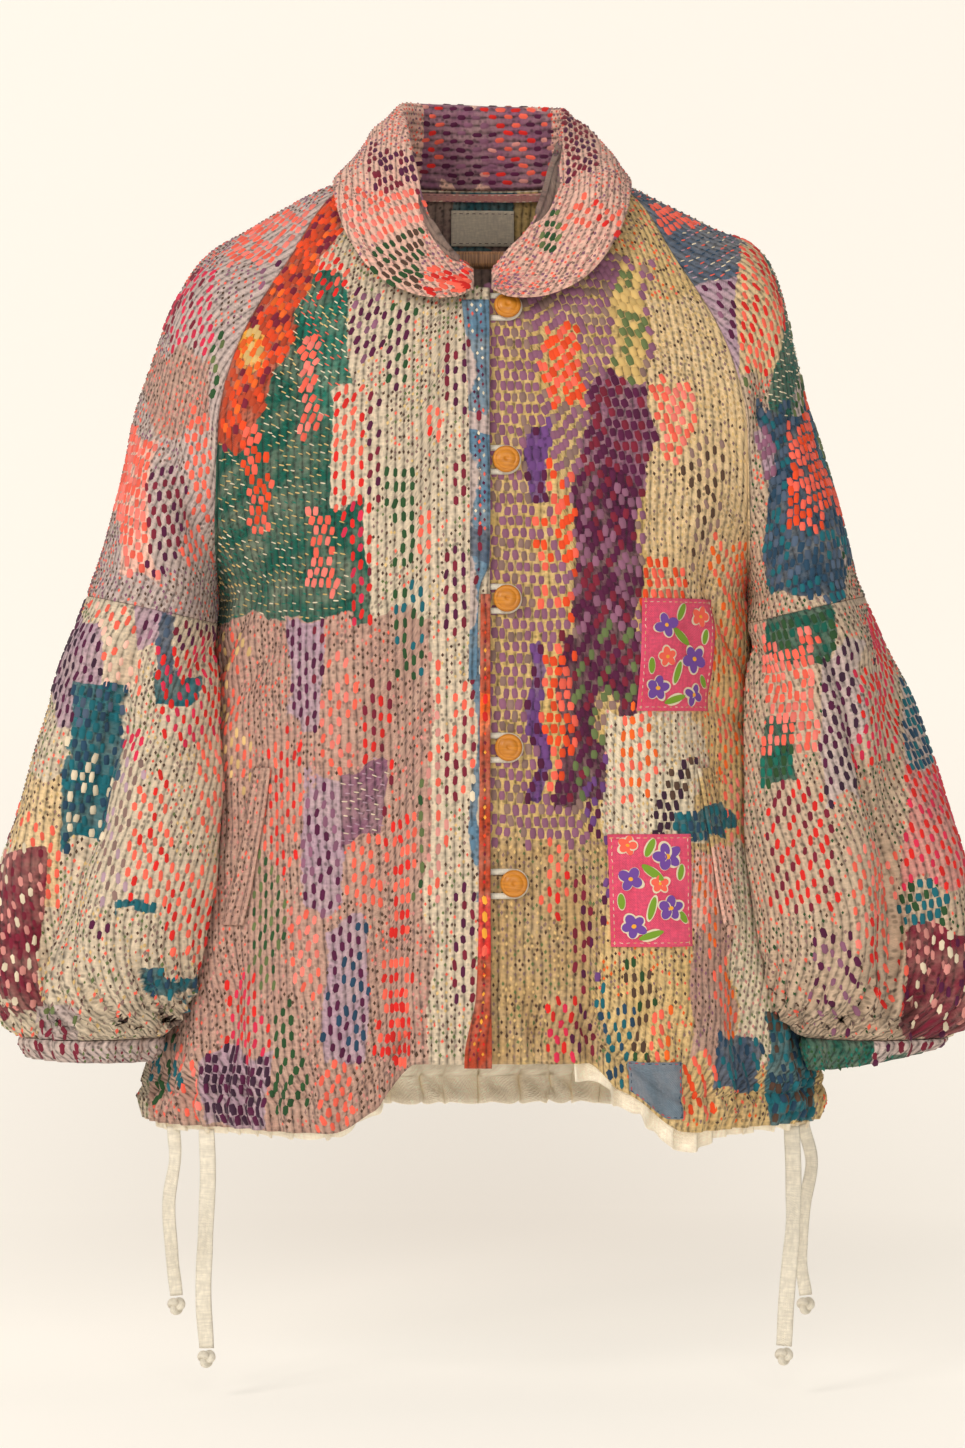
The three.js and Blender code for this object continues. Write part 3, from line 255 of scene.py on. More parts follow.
# Colours as they would look on a screen
COLOURS = {
    "oat": (0.86, 0.79, 0.69), "linen": (0.86, 0.79, 0.69), "shell": (0.76, 0.60, 0.54),
    "ash": (0.78, 0.70, 0.68), "sand": (0.80, 0.70, 0.60), "straw": (0.87, 0.74, 0.50),
    "butter": (0.90, 0.78, 0.59), "tan": (0.76, 0.63, 0.44), "cream": (0.90, 0.84, 0.73),
    "rose": (0.84, 0.56, 0.53), "blush": (0.96, 0.76, 0.69), "lilac": (0.72, 0.60, 0.66),
    "mauve": (0.55, 0.36, 0.46), "violet": (0.42, 0.26, 0.50), "plum": (0.33, 0.08, 0.24),
    "maroon": (0.48, 0.11, 0.20), "aubergine": (0.22, 0.11, 0.20), "raspberry": (0.85, 0.17, 0.31),
    "red": (0.86, 0.14, 0.12), "vermilion": (0.90, 0.29, 0.12), "coral": (0.96, 0.40, 0.32),
    "salmon": (0.96, 0.50, 0.45), "orange": (0.93, 0.40, 0.13), "amber": (0.95, 0.66, 0.22), "rust": (0.72, 0.27, 0.15),
    "gold": (0.83, 0.70, 0.44), "emerald": (0.03, 0.35, 0.29), "jade": (0.06, 0.45, 0.38),
    "teal": (0.08, 0.40, 0.45), "forest": (0.16, 0.31, 0.17), "moss": (0.40, 0.46, 0.28),
    "navy": (0.14, 0.27, 0.37), "slate": (0.30, 0.37, 0.46), "sky": (0.37, 0.51, 0.61),
    "taupe": (0.55, 0.44, 0.41), "umber": (0.33, 0.24, 0.19), "hot": (0.97, 0.30, 0.50),
    "leaf": (0.47, 0.62, 0.17), "iris": (0.44, 0.28, 0.62),
}
INK = {name: linear(*colour) for name, colour in COLOURS.items()}


# Arithmetic

def smooth(x):
    return x * x * (3 - 2 * x)


def step(start, end, x):
    return smooth(np.clip((x - start) / (end - start), 0, 1))


def mix(a, b, share):
    return a + (b - a) * share


def stack(*parts):
    return np.stack(np.broadcast_arrays(*parts), axis=-1).astype(float)


def unit(v):
    return v / np.maximum(np.linalg.norm(v, axis=-1, keepdims=True), 1e-9)


def column(data, name, at):
    """A table's column at a key, as a smooth curve through its rows"""
    key = data["key"]
    value = data[name]
    last = len(key) - 1
    at = np.clip(at, key[0], key[last])
    i = np.clip(np.searchsorted(key, at, side="left") - 1, 0, last - 1)

    def slope(k):
        a = np.maximum(k - 1, 0)
        b = np.minimum(k + 1, last)
        return (value[b] - value[a]) / (key[b] - key[a])

    span = key[i + 1] - key[i]
    s = (at - key[i]) / span
    rise = value[i + 1] - value[i]
    start = slope(i) * span
    end = slope(i + 1) * span
    cubic = (start + end - 2 * rise) * s + (3 * rise - 2 * start - end)
    return value[i] + s * (start + s * cubic)


def wave(turns):
    """Uneven waves of gathered cloth, by distance along it in waves"""
    uneven = 0.75 + 0.25 * np.sin(turns * 1.9) * np.sin(turns * 0.83 + 1)
    return uneven * np.cos(2 * np.pi * turns)


def ripple(a, b, size, seed):
    """Soft unevenness between about -1 and 1, with features of about the given size"""
    rng = np.random.default_rng(seed)
    total = 0
    for _ in range(7):
        turn = rng.uniform(0, 2 * np.pi)
        wavelength = size * rng.uniform(1.4, 3.4)
        phase = rng.uniform(0, 2 * np.pi)
        total = total + np.sin((a * math.cos(turn) + b * math.sin(turn)) * 2 * np.pi / wavelength + phase)
    return total / 3.2


# Body surface

def raglan(t, face, axis):
    return column(RAGLAN, ("front" if face < 0 else "back") + axis, t)


def raglan_at(z, face):
    """Place on the raglan seam, as t, at a height"""
    low = np.zeros_like(z)
    high = np.ones_like(z)
    for _ in range(24):
        middle = (low + high) / 2
        above = raglan(middle, face, "Z") > z
        low = np.where(above, middle, low)
        high = np.where(above, high, middle)
    return (low + high) / 2


def section(z, face):
    """Half width and half depth of the body at a height"""
    z = np.asarray(z, float)
    depth = column(DEPTHS, "front" if face < 0 else "back", z)
    t = raglan_at(z, face)
    ratio = np.minimum(0.97, np.abs(raglan(t, face, "Y")) / depth)
    upper = raglan(t, face, "X") / (1 - ratio ** BODY_SQUARENESS) ** (1 / BODY_SQUARENESS)
    return np.where(z <= UNDERARM_Z, column(WIDTHS, "half", z), upper), depth


def body_fold(x, z, face, side):
    height = 0
    for fold in BODY_FOLDS:
        if fold.face != face:
            continue
        down = np.clip((fold.topZ - z) / (fold.topZ - HEM_Z), 0, 1)
        across = (x - mix(fold.topX, fold.lowX, down)) / (fold.width * (0.7 + 0.5 * down))
        amount = fold.height * smooth(down ** 0.7) * np.exp(-across ** 2)
        height = height + np.where(side == fold.side, amount, 0)
    return height


def body_point(x, z, face, side, lift):
    """Point of the body's outer surface from its half section's x and height"""
    half, depth = section(z, face)
    ratio = np.minimum(1, np.abs(x) / half)
    y = depth * (1 - ratio ** BODY_SQUARENESS) ** (1 / BODY_SQUARENESS)
    out = lift + body_fold(x, z, face, side) * step(1, 0.9, ratio)
    nx = np.sign(x) * ratio ** (BODY_SQUARENESS - 1) / half
    ny = (y / depth) ** (BODY_SQUARENESS - 1) / depth
    length = np.hypot(nx, ny)
    return stack(side * (x + out * nx / length), face * (y + out * ny / length), z)


def section_x(half, angle):
    return np.sign(angle) * half * np.abs(np.sin(angle)) ** (2 / BODY_SQUARENESS)


def section_angle(half, x):
    ratio = np.minimum(1, np.abs(x) / half)
    return np.sign(x) * np.arcsin(ratio ** (BODY_SQUARENESS / 2))


def hem_height(x, face, side):
    if face > 0:
        return np.full_like(np.asarray(x, float), HEM_Z)
    share = sum(
        np.where(side == drop.side, drop.share * step(drop.start, drop.end, x), 0)
        for drop in HEM_DROP
    )
    return mix(HEM_CENTRE_Z, HEM_Z, share)


def body_place(q, v, face, side):
    """x and z of a body half at q across (0 centre, 1 seam) and v up (0 hem, 1 neck)"""
    edge = 0 if face > 0 else EDGE_X[side]
    hem_half, _ = section(float(HEM_Z), face)
    hem_x = section_x(hem_half, mix(section_angle(hem_half, edge), np.pi / 2, q))
    low_z = mix(hem_height(hem_x, face, side), UNDERARM_Z, v / UNDERARM_V)
    half, _ = section(low_z, face)
    low_x = section_x(half, mix(section_angle(half, edge), np.pi / 2, q))
    w = np.clip((v - UNDERARM_V) / (1 - UNDERARM_V), 0, 1)
    half, _ = section(float(UNDERARM_Z), face)
    under_x = section_x(half, mix(section_angle(half, edge), np.pi / 2, q))
    neck_half = BACK_NECK_HALF_WIDTH if face > 0 else NECK_HALF_WIDTH
    neck_low = BACK_NECK_Z if face > 0 else FRONT_NECK_Z
    neck_high = BACK_NECK_Z + 1 if face > 0 else NECK_SIDE_Z
    top_x = edge + (neck_half - edge) * np.sin(q * np.pi / 2)
    top_z = neck_high - (neck_high - neck_low) * np.cos(q * np.pi / 2)
    seam_x = raglan(1 - w, face, "X")
    seam_z = raglan(1 - w, face, "Z")
    edge_z = mix(UNDERARM_Z, neck_low, w)
    corner_x = (1 - q) * edge + q * ((1 - w) * half + w * neck_half)
    corner_z = (1 - w) * UNDERARM_Z + w * ((1 - q) * neck_low + q * neck_high)
    high_x = (1 - w) * under_x + w * top_x + (1 - q) * edge + q * seam_x - corner_x
    high_z = (1 - w) * UNDERARM_Z + w * top_z + (1 - q) * edge_z + q * seam_z - corner_z
    low = v <= UNDERARM_V
    return np.where(low, low_x, high_x), np.where(low, low_z, high_z)


def body_lift(x, z, face, side):
    """How far the hem's gathers and puff, and the left front's underlap, move the cloth"""
    rise = z - hem_height(x, face, side)
    half, _ = section(np.maximum(z, HEM_Z), face)
    fade = step(12, 26, x + (26 if face > 0 else 0)) * step(half, half - 7, x)
    gather = step(HEM_GATHER_REACH, HEM_BAND, rise) * fade
    puff = HEM_PUFF * step(-6, 8, rise) * step(HEM_BAND + 6, 10, rise)
    turns = section_angle(half, x) * HEM_TURNS + np.where(side > 0, LEFT_WAVE_SHIFT, 0)
    lift = gather * (puff + HEM_WAVE_DEPTH * wave(turns))
    if face > 0:
        return lift
    under = UNDERLAP["depth"] * step(UNDERLAP["gone_by"], UNDERLAP["full_to"], x)
    return lift - np.where(side > 0, under, 0)


def on_body(x, z, face, side, lift=0):
    """Point lifted off the finished body cloth at a half section's x and height"""
    return body_point(x, z, face, side, body_lift(x, z, face, side) + lift)


def body_surface(face, side, q, v):
    if face < 0:
        x, z = body_place(q, v, face, side)
        return on_body(x, z, face, side)
    sides = np.where(q < 0, -1, 1)
    x, z = body_place(np.abs(q), v, face, 1)
    return on_body(x, z, face, sides)


# Sleeve surface

def clear_body(p, clearance, amount):
    """Push points that would enter the body out to a little off its surface"""
    z = np.minimum(p[..., 2], UNDERARM_Z)
    front_half, front_depth = section(z, -1)
    _, back_depth = section(z, 1)
    depth = np.where(p[..., 1] < 0, front_depth, back_depth)
    level = (np.abs(p[..., 0]) / (front_half + clearance)) ** BODY_SQUARENESS
    level = level + (np.abs(p[..., 1]) / (depth + clearance)) ** BODY_SQUARENESS
    scale = mix(1, np.maximum(level, 1e-6) ** (-1 / BODY_SQUARENESS), amount)
    moves = (amount > 0) & (p[..., 2] <= UNDERARM_Z + 40) & (level < 1)
    scale = np.where(moves, scale, 1)
    return stack(p[..., 0] * scale, p[..., 1] * scale, p[..., 2])


def sleeve_surface(side, u, t):
    """u from the front seam round to the back seam, t down from the neck"""
    def at(name):
        return column(SLEEVE, name, t)

    folds = SLEEVE_FOLD[side]
    narrower = at("leftIn") if side > 0 else 0
    top = stack(at("outX") - narrower, at("outY"), at("outZ"))
    cap = (t < 1)[..., None]
    seam_t = np.minimum(t, 1)
    inner = stack(*(column(SLEEVE_INNER, axis, t) for axis in "xyz"))
    front = np.where(cap, stack(*(raglan(seam_t, -1, axis) for axis in "XYZ")), inner)
    back = np.where(cap, stack(*(raglan(seam_t, 1, axis) for axis in "XYZ")), inner)
    middle = (front + back) / 2
    opening = np.radians(at("open"))
    outward = top - middle
    reach = (np.linalg.norm(outward, axis=-1) / (1 - np.cos(opening)))[..., None]
    e1 = unit(outward)
    centre = top - e1 * reach
    plan = unit(stack(e1[..., 0], e1[..., 1], 0 * t))
    sideways = stack(-plan[..., 1], plan[..., 0], 0 * t)
    e2 = unit(mix(sideways, np.array([0.0, 1.0, 0.0]), (1 - step(0.85, 1.2, t))[..., None]))
    fold_at = np.radians(column(folds, "angle", t))
    fold_width = np.radians(column(folds, "width", t))
    fold_depth = column(folds, "depth", t)

    def arc(angle):
        turned = (angle - fold_at) / fold_width
        dent = fold_depth * np.exp(-turned ** 2) * step(0.7, 1, t) / FOLD_REACH
        beside = step(2.02, 1.9, t) * step(0.6, 1.15, t) * np.exp(-(turned - FOLD_BULGE_AT) ** 2)
        bulge = (1 - dent + FOLD_BULGE * beside)[..., None]
        turns = CUFF_WAVES * (angle + np.pi) / 2 / np.pi
        waves = (step(1.84, 1.94, t) * CUFF_WAVE_DEPTH * wave(turns))[..., None]
        along = (reach * bulge + waves) * np.cos(angle)[..., None]
        sideways_by = (at("depth")[..., None] * bulge + waves) * np.sin(angle)[..., None]
        return centre + e1 * along + e2 * sideways_by

    p = arc(mix(-opening, opening, u))
    miss = mix(front - arc(-opening), back - arc(opening), u[..., None])
    p = p + np.where(cap, miss, 0)
    p = clear_body(p, 1 + BODY_CLEARANCE * step(1, 1.12, t), step(0.98, 1.06, t))
    return p * np.array([side, 1, 1])


def cuff_surface(side, u, v):
    """Carries the sleeve's end on downwards and a little inwards"""
    end = sleeve_surface(side, u, np.full_like(u, 2.0))
    ends = sleeve_surface(side, np.array([0.0, 0.5]), np.array([2.0, 2.0]))
    centre = ends.mean(axis=0)
    inward = CUFF_DRAW_IN * smooth(v) - CUFF_BELLY * np.sin(np.pi * v)
    outside = side * (end[..., 0] - centre[0])
    z = end[..., 2] + v * (CUFF_TILT[side] * outside - CUFF_HEIGHT)
    return stack(mix(end[..., 0], centre[0], inward), mix(end[..., 1], centre[1], inward), z)


# Collar surface

def neck_normal(p):
    """Direction of the neck seam's face at a point of it"""
    y = p[..., 1] - NECK_TILT["centre_y"]
    from_side = np.arctan2(np.abs(p[..., 0]), y) / np.pi - 0.5
    lift = NECK_TILT["least"] + NECK_TILT["sides"] * np.exp(-from_side ** 2 / NECK_TILT["spread"])
    flat = unit(stack(p[..., 0], y, 0 * y))
    return unit(flat + stack(0 * y, 0 * y, lift))


def neck_ring(side, count=34):
    """Points round the neck seam from a front end to the centre back, and the share of the way, m"""
    q = np.linspace(COLLAR_START_Q, 1, count)
    front = body_surface(-1, side, q, np.ones_like(q))
    u = np.linspace(0, 1, count)[1:]
    top = sleeve_surface(side, u, np.zeros_like(u))
    q = np.linspace(1, 0, count)[1:]
    back = body_surface(1, 0, side * np.maximum(q, 1e-9), np.ones_like(q))
    points = np.concatenate([front, top, back])
    steps = np.linalg.norm(np.diff(points, axis=0), axis=1)
    m = np.concatenate([[0], np.cumsum(steps)])
    return m / m[-1], points


def through(controls, v):
    """Centripetal curve through a list of control points, at the shares v"""
    last = len(controls) - 1
    place = v * last
    out = []
    for value in place:
        i = min(int(value), last - 1)
        w = value - i
        p1, p2 = controls[i], controls[i + 1]
        p0 = controls[i - 1] if i > 0 else 2 * p1 - p2
        p3 = controls[i + 2] if i + 2 <= last else 2 * p2 - p1
        d0, d1, d2 = (
            np.maximum(np.linalg.norm(b - a, axis=-1, keepdims=True), 1e-8) ** 0.5
            for a, b in ((p0, p1), (p1, p2), (p2, p3))
        )
        t1 = ((p1 - p0) / d0 - (p2 - p0) / (d0 + d1) + (p2 - p1) / d1) * d1
        t2 = ((p2 - p1) / d1 - (p3 - p1) / (d1 + d2) + (p3 - p2) / d2) * d1
        square = -3 * p1 + 3 * p2 - 2 * t1 - t2
        cube = 2 * p1 - 2 * p2 + t1 + t2
        out.append(p1 + w * (t1 + w * (square + w * cube)))
    return np.array(out)


def collar_surface(u, v):
    """Rows at v from the neck seam over the roll to the edge, columns at u round the neck"""
    rings = {side: neck_ring(side) for side in (-1, 1)}
    m = 1 - np.abs(u)
    side = np.where(u <= 0, -1, 1)
    seat = np.zeros((len(u), 3))
    for one in (-1, 1):
        ring_m, ring = rings[one]
        found = np.stack([np.interp(m, ring_m, ring[:, axis]) for axis in range(3)], axis=-1)
        seat = np.where((side == one)[:, None], found, seat)

    def place(name):
        parts = [column(COLLAR, name + axis, m) for axis in "XYZ"]
        return stack(side * parts[0], parts[1], parts[2])

    roll = place("roll")
    edge = place("edge")
    up = unit(roll - seat)
    base = seat - neck_normal(seat) * CLOTH + up * SEAM_GAP
    across = unit(edge - base)
    lift = unit(roll - (base + edge) / 2)
    radius = np.minimum(COLLAR_ROLL_RADIUS, 0.3 * np.linalg.norm(edge - base, axis=-1))[:, None]
    roll_in = roll - across * radius - lift * radius
    roll_out = roll + across * radius - lift * radius
    bow = 0.05 * np.linalg.norm(roll_out - edge, axis=-1)[:, None]
    fall = (roll_out + edge) / 2 + (lift + across) * bow
    return through([base, (base + roll_in) / 2, roll_in, roll, roll_out, fall, edge], v)


# Cloth panels: grids of points with their flat measure

def frame_place(p):
    """Where points show in the picture's frame, in pixels"""
    distance = CAMERA_DISTANCE + p[..., 1]
    x = CENTRE_X + PIXELS_PER_SLOPE * p[..., 0] / distance
    y = CENTRE_Y - PIXELS_PER_SLOPE * (p[..., 2] - CAMERA_Z) / distance
    return stack(x, y)


def arc_length(points, axis, origin):
    steps = np.linalg.norm(np.diff(points, axis=axis), axis=-1)
    pad = [(0, 0), (0, 0)]
    pad[axis] = (1, 0)
    total = np.cumsum(np.pad(steps, pad), axis=axis)
    return total - np.take(total, [origin], axis=axis)


class Cloth:
    """A panel's outer surface, rows up or down it and columns across it"""

    def __init__(self, points, middle=0, level=0, turn=1):
        self.points = points
        self.across = arc_length(points, 1, middle)
        self.along = arc_length(points, 0, level)
        self.turn = turn
        self.place = frame_place(points)

    def normals(self):
        du = np.gradient(self.points, axis=1)
        dv = np.gradient(self.points, axis=0)
        return unit(np.cross(du, dv)) * self.turn

    def raise_by(self, amount):
        self.points = self.points + self.normals() * amount[..., None]

    def draw_back(self, amount):
        """Move the edges in by an amount, so that neighbours stay apart at their seams"""
        for edge, inside in (((0,), (1,)), ((-1,), (-2,))):
            for pick in (lambda i: (i[0], slice(None)), lambda i: (slice(None), i[0])):
                towards = unit(self.points[pick(inside)] - self.points[pick(edge)])
                self.points[pick(edge)] = self.points[pick(edge)] + towards * amount


def grid(rows, columns):
    """Matching arrays of column and row values"""
    return np.meshgrid(columns, rows)


def new_object(name, points, faces, smooth_shading=True):
    """Object from points in millimetres and lists of equal-sided faces"""
    mesh = bpy.data.meshes.new(name)
    loops = np.concatenate([f.reshape(-1) for f in faces])
    sizes = np.concatenate([np.full(len(f), f.shape[1]) for f in faces])
    starts = np.concatenate([[0], np.cumsum(sizes)[:-1]])
    mesh.vertices.add(len(points))
    mesh.vertices.foreach_set("co", (np.asarray(points) * METRE).reshape(-1))
    mesh.loops.add(len(loops))
    mesh.loops.foreach_set("vertex_index", loops.astype(np.int32))
    mesh.polygons.add(len(sizes))
    mesh.polygons.foreach_set("loop_start", starts.astype(np.int32))
    mesh.polygons.foreach_set("loop_total", sizes.astype(np.int32))
    mesh.polygons.foreach_set("use_smooth", np.full(len(sizes), smooth_shading))
    mesh.update(calc_edges=True)
    mesh.validate()
    obj = bpy.data.objects.new(name, mesh)
    bpy.context.scene.collection.objects.link(obj)
    return obj


def add_uv(obj, name, values):
    """A UV map from one pair of values a point"""
    mesh = obj.data
    index = np.zeros(len(mesh.loops), np.int32)
    mesh.loops.foreach_get("vertex_index", index)
    layer = mesh.uv_layers.new(name=name)
    layer.data.foreach_set("uv", np.asarray(values, float)[index].reshape(-1))


def add_colour(obj, name, values):
    """A colour attribute from one linear colour a point"""
    attribute = obj.data.color_attributes.new(name=name, type="FLOAT_COLOR", domain="POINT")
    rgba = np.concatenate([values, np.ones((len(values), 1))], axis=1)
    attribute.data.foreach_set("color", rgba.reshape(-1))


def quads(ids):
    """Faces of a grid of point numbers"""
    return np.stack([ids[:-1, :-1], ids[:-1, 1:], ids[1:, 1:], ids[1:, :-1]], axis=-1).reshape(-1, 4)


def shell(name, cloth, materials, thickness=SHELL, rounding=EDGE_ROUNDING, seed=0):
    """Closed wall of cloth: outer grid, inner grid and a rounded rim between them"""
    normals = cloth.normals()
    rows, columns = cloth.points.shape[:2]
    outer_ids = np.arange(rows * columns).reshape(rows, columns)
    inner_ids = outer_ids + rows * columns
    border = np.concatenate([
        outer_ids[0, :-1], outer_ids[:-1, -1], outer_ids[-1, :0:-1], outer_ids[:0:-1, 0],
    ])
    outer = cloth.points.reshape(-1, 3)
    inner = outer - normals.reshape(-1, 3) * thickness
    ahead = unit(np.roll(outer[border], -1, axis=0) - np.roll(outer[border], 1, axis=0))
    outside = unit(np.cross(ahead, normals.reshape(-1, 3)[border])) * cloth.turn
    rim = (outer[border] + inner[border]) / 2 + outside * rounding
    rim_ids = 2 * rows * columns + np.arange(len(border))
    following = np.roll(rim_ids, -1)
    border_next = np.roll(border, -1)
    sides = [
        np.stack([border, rim_ids, following, border_next], axis=-1),
        np.stack([rim_ids, border + rows * columns, border_next + rows * columns, following], axis=-1),
    ]
    faces = [quads(outer_ids), quads(inner_ids)[:, ::-1], *sides]
    if cloth.turn < 0:
        faces = [f[:, ::-1] for f in faces]
    obj = new_object(name, np.concatenate([outer, inner, rim]), faces)
    flat = stack(cloth.across, cloth.along).reshape(-1, 2) * METRE
    place = stack(*ragged(cloth.place, seed)).reshape(-1, 2) * METRE
    add_uv(obj, "Cloth", np.concatenate([flat, flat, flat[border]]))
    add_uv(obj, "Place", np.concatenate([place, place, place[border]]))
    for material in materials:
        obj.data.materials.append(material)
    if len(materials) > 1:
        slots = np.zeros(len(obj.data.polygons), np.int32)
        slots[len(faces[0]):len(faces[0]) + len(faces[1])] = 1
        obj.data.polygons.foreach_set("material_index", slots)
    return obj


# Relief of the body cloth beyond its solid: soft creases and puckers, in its own sizes

# Creases of the body: ends as distance round from the centre and height, half width, and depth (in is negative)
Crease = namedtuple("Crease", "a0 b0 a1 b1 width depth")
BODY_CREASES = {
    (-1, -1): [
        Crease(226, -300, 150, -210, 9, -2.6), Crease(232, -340, 130, -270, 11, -2.2),
        Crease(90, -590, 84, -480, 8, -2.4), Crease(120, -592, 128, -500, 7, 2.0),
        Crease(150, -594, 152, -470, 9, -2.8), Crease(182, -592, 176, -510, 7, 2.2),
        Crease(208, -590, 214, -500, 8, -2.2), Crease(60, -570, 66, -500, 6, -1.6),
        Crease(70, -90, 140, -180, 16, 1.8), Crease(40, -240, 60, -400, 14, -1.8),
        Crease(100, -330, 112, -450, 18, 1.6), Crease(240, -420, 236, -560, 10, -2.2),
    ],
    (-1, 1): [
        Crease(226, -300, 140, -205, 9, -2.6), Crease(230, -350, 150, -300, 10, -2.0),
        Crease(104, -592, 96, -500, 7, -2.6), Crease(128, -592, 132, -520, 6, 1.8),
        Crease(156, -594, 150, -490, 8, -2.6), Crease(190, -592, 196, -480, 8, 2.4),
        Crease(214, -590, 208, -500, 8, -2.6), Crease(76, -576, 80, -500, 6, -1.8),
        Crease(66, -100, 130, -200, 16, 1.8), Crease(60, -260, 74, -420, 14, -2.0),
        Crease(120, -340, 130, -460, 16, 1.8), Crease(242, -400, 238, -560, 10, -2.4),
    ],
    (1, -1): [
        Crease(228, -300, 120, -170, 10, -2.6), Crease(40, -592, 52, -470, 8, -2.4),
        Crease(78, -590, 74, -500, 7, 2.0), Crease(116, -594, 124, -460, 9, -2.6),
        Crease(160, -592, 150, -500, 8, 2.2), Crease(200, -590, 206, -490, 8, -2.4),
        Crease(30, -60, 90, -140, 18, 1.8), Crease(90, -240, 70, -420, 16, -1.8),
    ],
    (1, 1): [
        Crease(230, -310, 110, -190, 10, -2.6), Crease(24, -592, 18, -480, 8, 2.2),
        Crease(62, -590, 70, -490, 7, -2.4), Crease(104, -594, 98, -510, 8, 2.0),
        Crease(140, -592, 152, -470, 9, -2.8), Crease(186, -590, 180, -500, 8, 2.2),
        Crease(40, -90, 100, -190, 18, -1.6), Crease(60, -280, 84, -430, 16, 1.8),
    ],
}
ROUND_LENGTH = 175
HEM_GATHER = {"pitch": 15, "height": 2.5, "reach": 54, "groove": 3.2}
PUCKERS = {"large": 2.2, "large_size": 66, "small": 0.8, "small_size": 21}
CREASE_STRENGTH = 1.6


def creased(creases, a, b):
    """Height of listed creases: soft troughs and ridges that die away at both ends"""
    height = 0
    for crease in creases:
        da, db = crease.a1 - crease.a0, crease.b1 - crease.b0
        length = math.hypot(da, db)
        along = ((a - crease.a0) * da + (b - crease.b0) * db) / length ** 2
        bend = 4 * np.sin(along * 5 + crease.a0)
        off = ((a - crease.a0) * db - (b - crease.b0) * da) / length + bend
        ends = step(-0.18, 0.2, along) * step(1.15, 0.6, along)
        height = height + CREASE_STRENGTH * crease.depth * ends * np.exp(-(off / crease.width) ** 2)
    return height


def puckered(a, b, seed):
    large = PUCKERS["large"] * ripple(a, b, PUCKERS["large_size"], seed)
    return large + PUCKERS["small"] * ripple(a, b * 0.8, PUCKERS["small_size"], seed + 1)


def body_relief(x, z, face, side):
    """What the creases and puckers add to the body's surface, dying away at its seams"""
    half, _ = section(np.maximum(z, HEM_Z), face)
    around = section_angle(half, x) * ROUND_LENGTH
    height = 0
    for one in (-1, 1):
        here = creased(BODY_CREASES[face, one], around, z) + puckered(around, z, 5 * face + one + 20)
        height = height + np.where(np.sign(side) == one, here, 0)
    t = raglan_at(z, face)
    from_seam = np.where(z > UNDERARM_Z, raglan(t, face, "X") - x, (np.pi / 2 * ROUND_LENGTH - around))
    fade = step(1, 18, from_seam)
    if face < 0:
        level = np.hypot(x / NECK_HALF_WIDTH, (NECK_SIDE_Z - z) / (NECK_SIDE_Z - FRONT_NECK_Z))
        fade = fade * step(1, 1.2, np.where(z > NECK_SIDE_Z, 0, level)) * (0.15 + 0.85 * step(14, 48, x))
    else:
        fade = fade * step(BACK_NECK_Z, BACK_NECK_Z - 16, z)
        fade = fade * step(2, 24, np.abs(x))
    return height * fade


def hem_relief(x, z, face, side):
    """Fine uneven gathers of the hem's drawstring channel, and the groove of its upper seam"""
    rise = z - np.where(np.sign(side) > 0, hem_height(x, face, 1), hem_height(x, face, -1))
    half, _ = section(np.maximum(z, HEM_Z), face)
    around = section_angle(half, x) * ROUND_LENGTH
    phase = 2 * np.pi * around / HEM_GATHER["pitch"] + 1.6 * ripple(around, 0 * around, 30, 44)
    gathers = HEM_GATHER["height"] * np.cos(phase) * step(HEM_GATHER["reach"], 14, rise)
    groove = -HEM_GATHER["groove"] * np.exp(-((rise - HEM_BAND) / 2.6) ** 2)
    return (gathers + groove) * step(8, 24, x + (30 if face > 0 else 0))


def on_cloth(x, z, face, side, lift=0):
    """Point lifted off the creased body cloth at a half section's x and height"""
    relief = body_relief(x, z, face, side) + hem_relief(x, z, face, side)
    return on_body(x, z, face, side, relief + lift)


# Panels

def body_rows():
    hem = np.linspace(0, 0.09, 15)
    low = np.linspace(0.09, UNDERARM_V, 64)
    high = np.linspace(UNDERARM_V, 1, 56)
    return np.concatenate([hem, low[1:], high[1:]])


def body_panel(face, side):
    """Creased cloth of a front, or of the back where the face is 1"""
    columns = np.linspace(0, 1, 116) if face < 0 else np.linspace(-1, 1, 231)
    q, v = grid(body_rows(), columns)
    sides = side if face < 0 else np.where(q < 0, -1, 1)
    x, z = body_place(np.abs(q), v, face, 1 if face > 0 else side)
    points = on_cloth(x, z, face, sides)
    middle = 0 if face < 0 else len(columns) // 2
    return Cloth(points, middle=middle, turn=1 if face * side < 0 and face < 0 else -1)


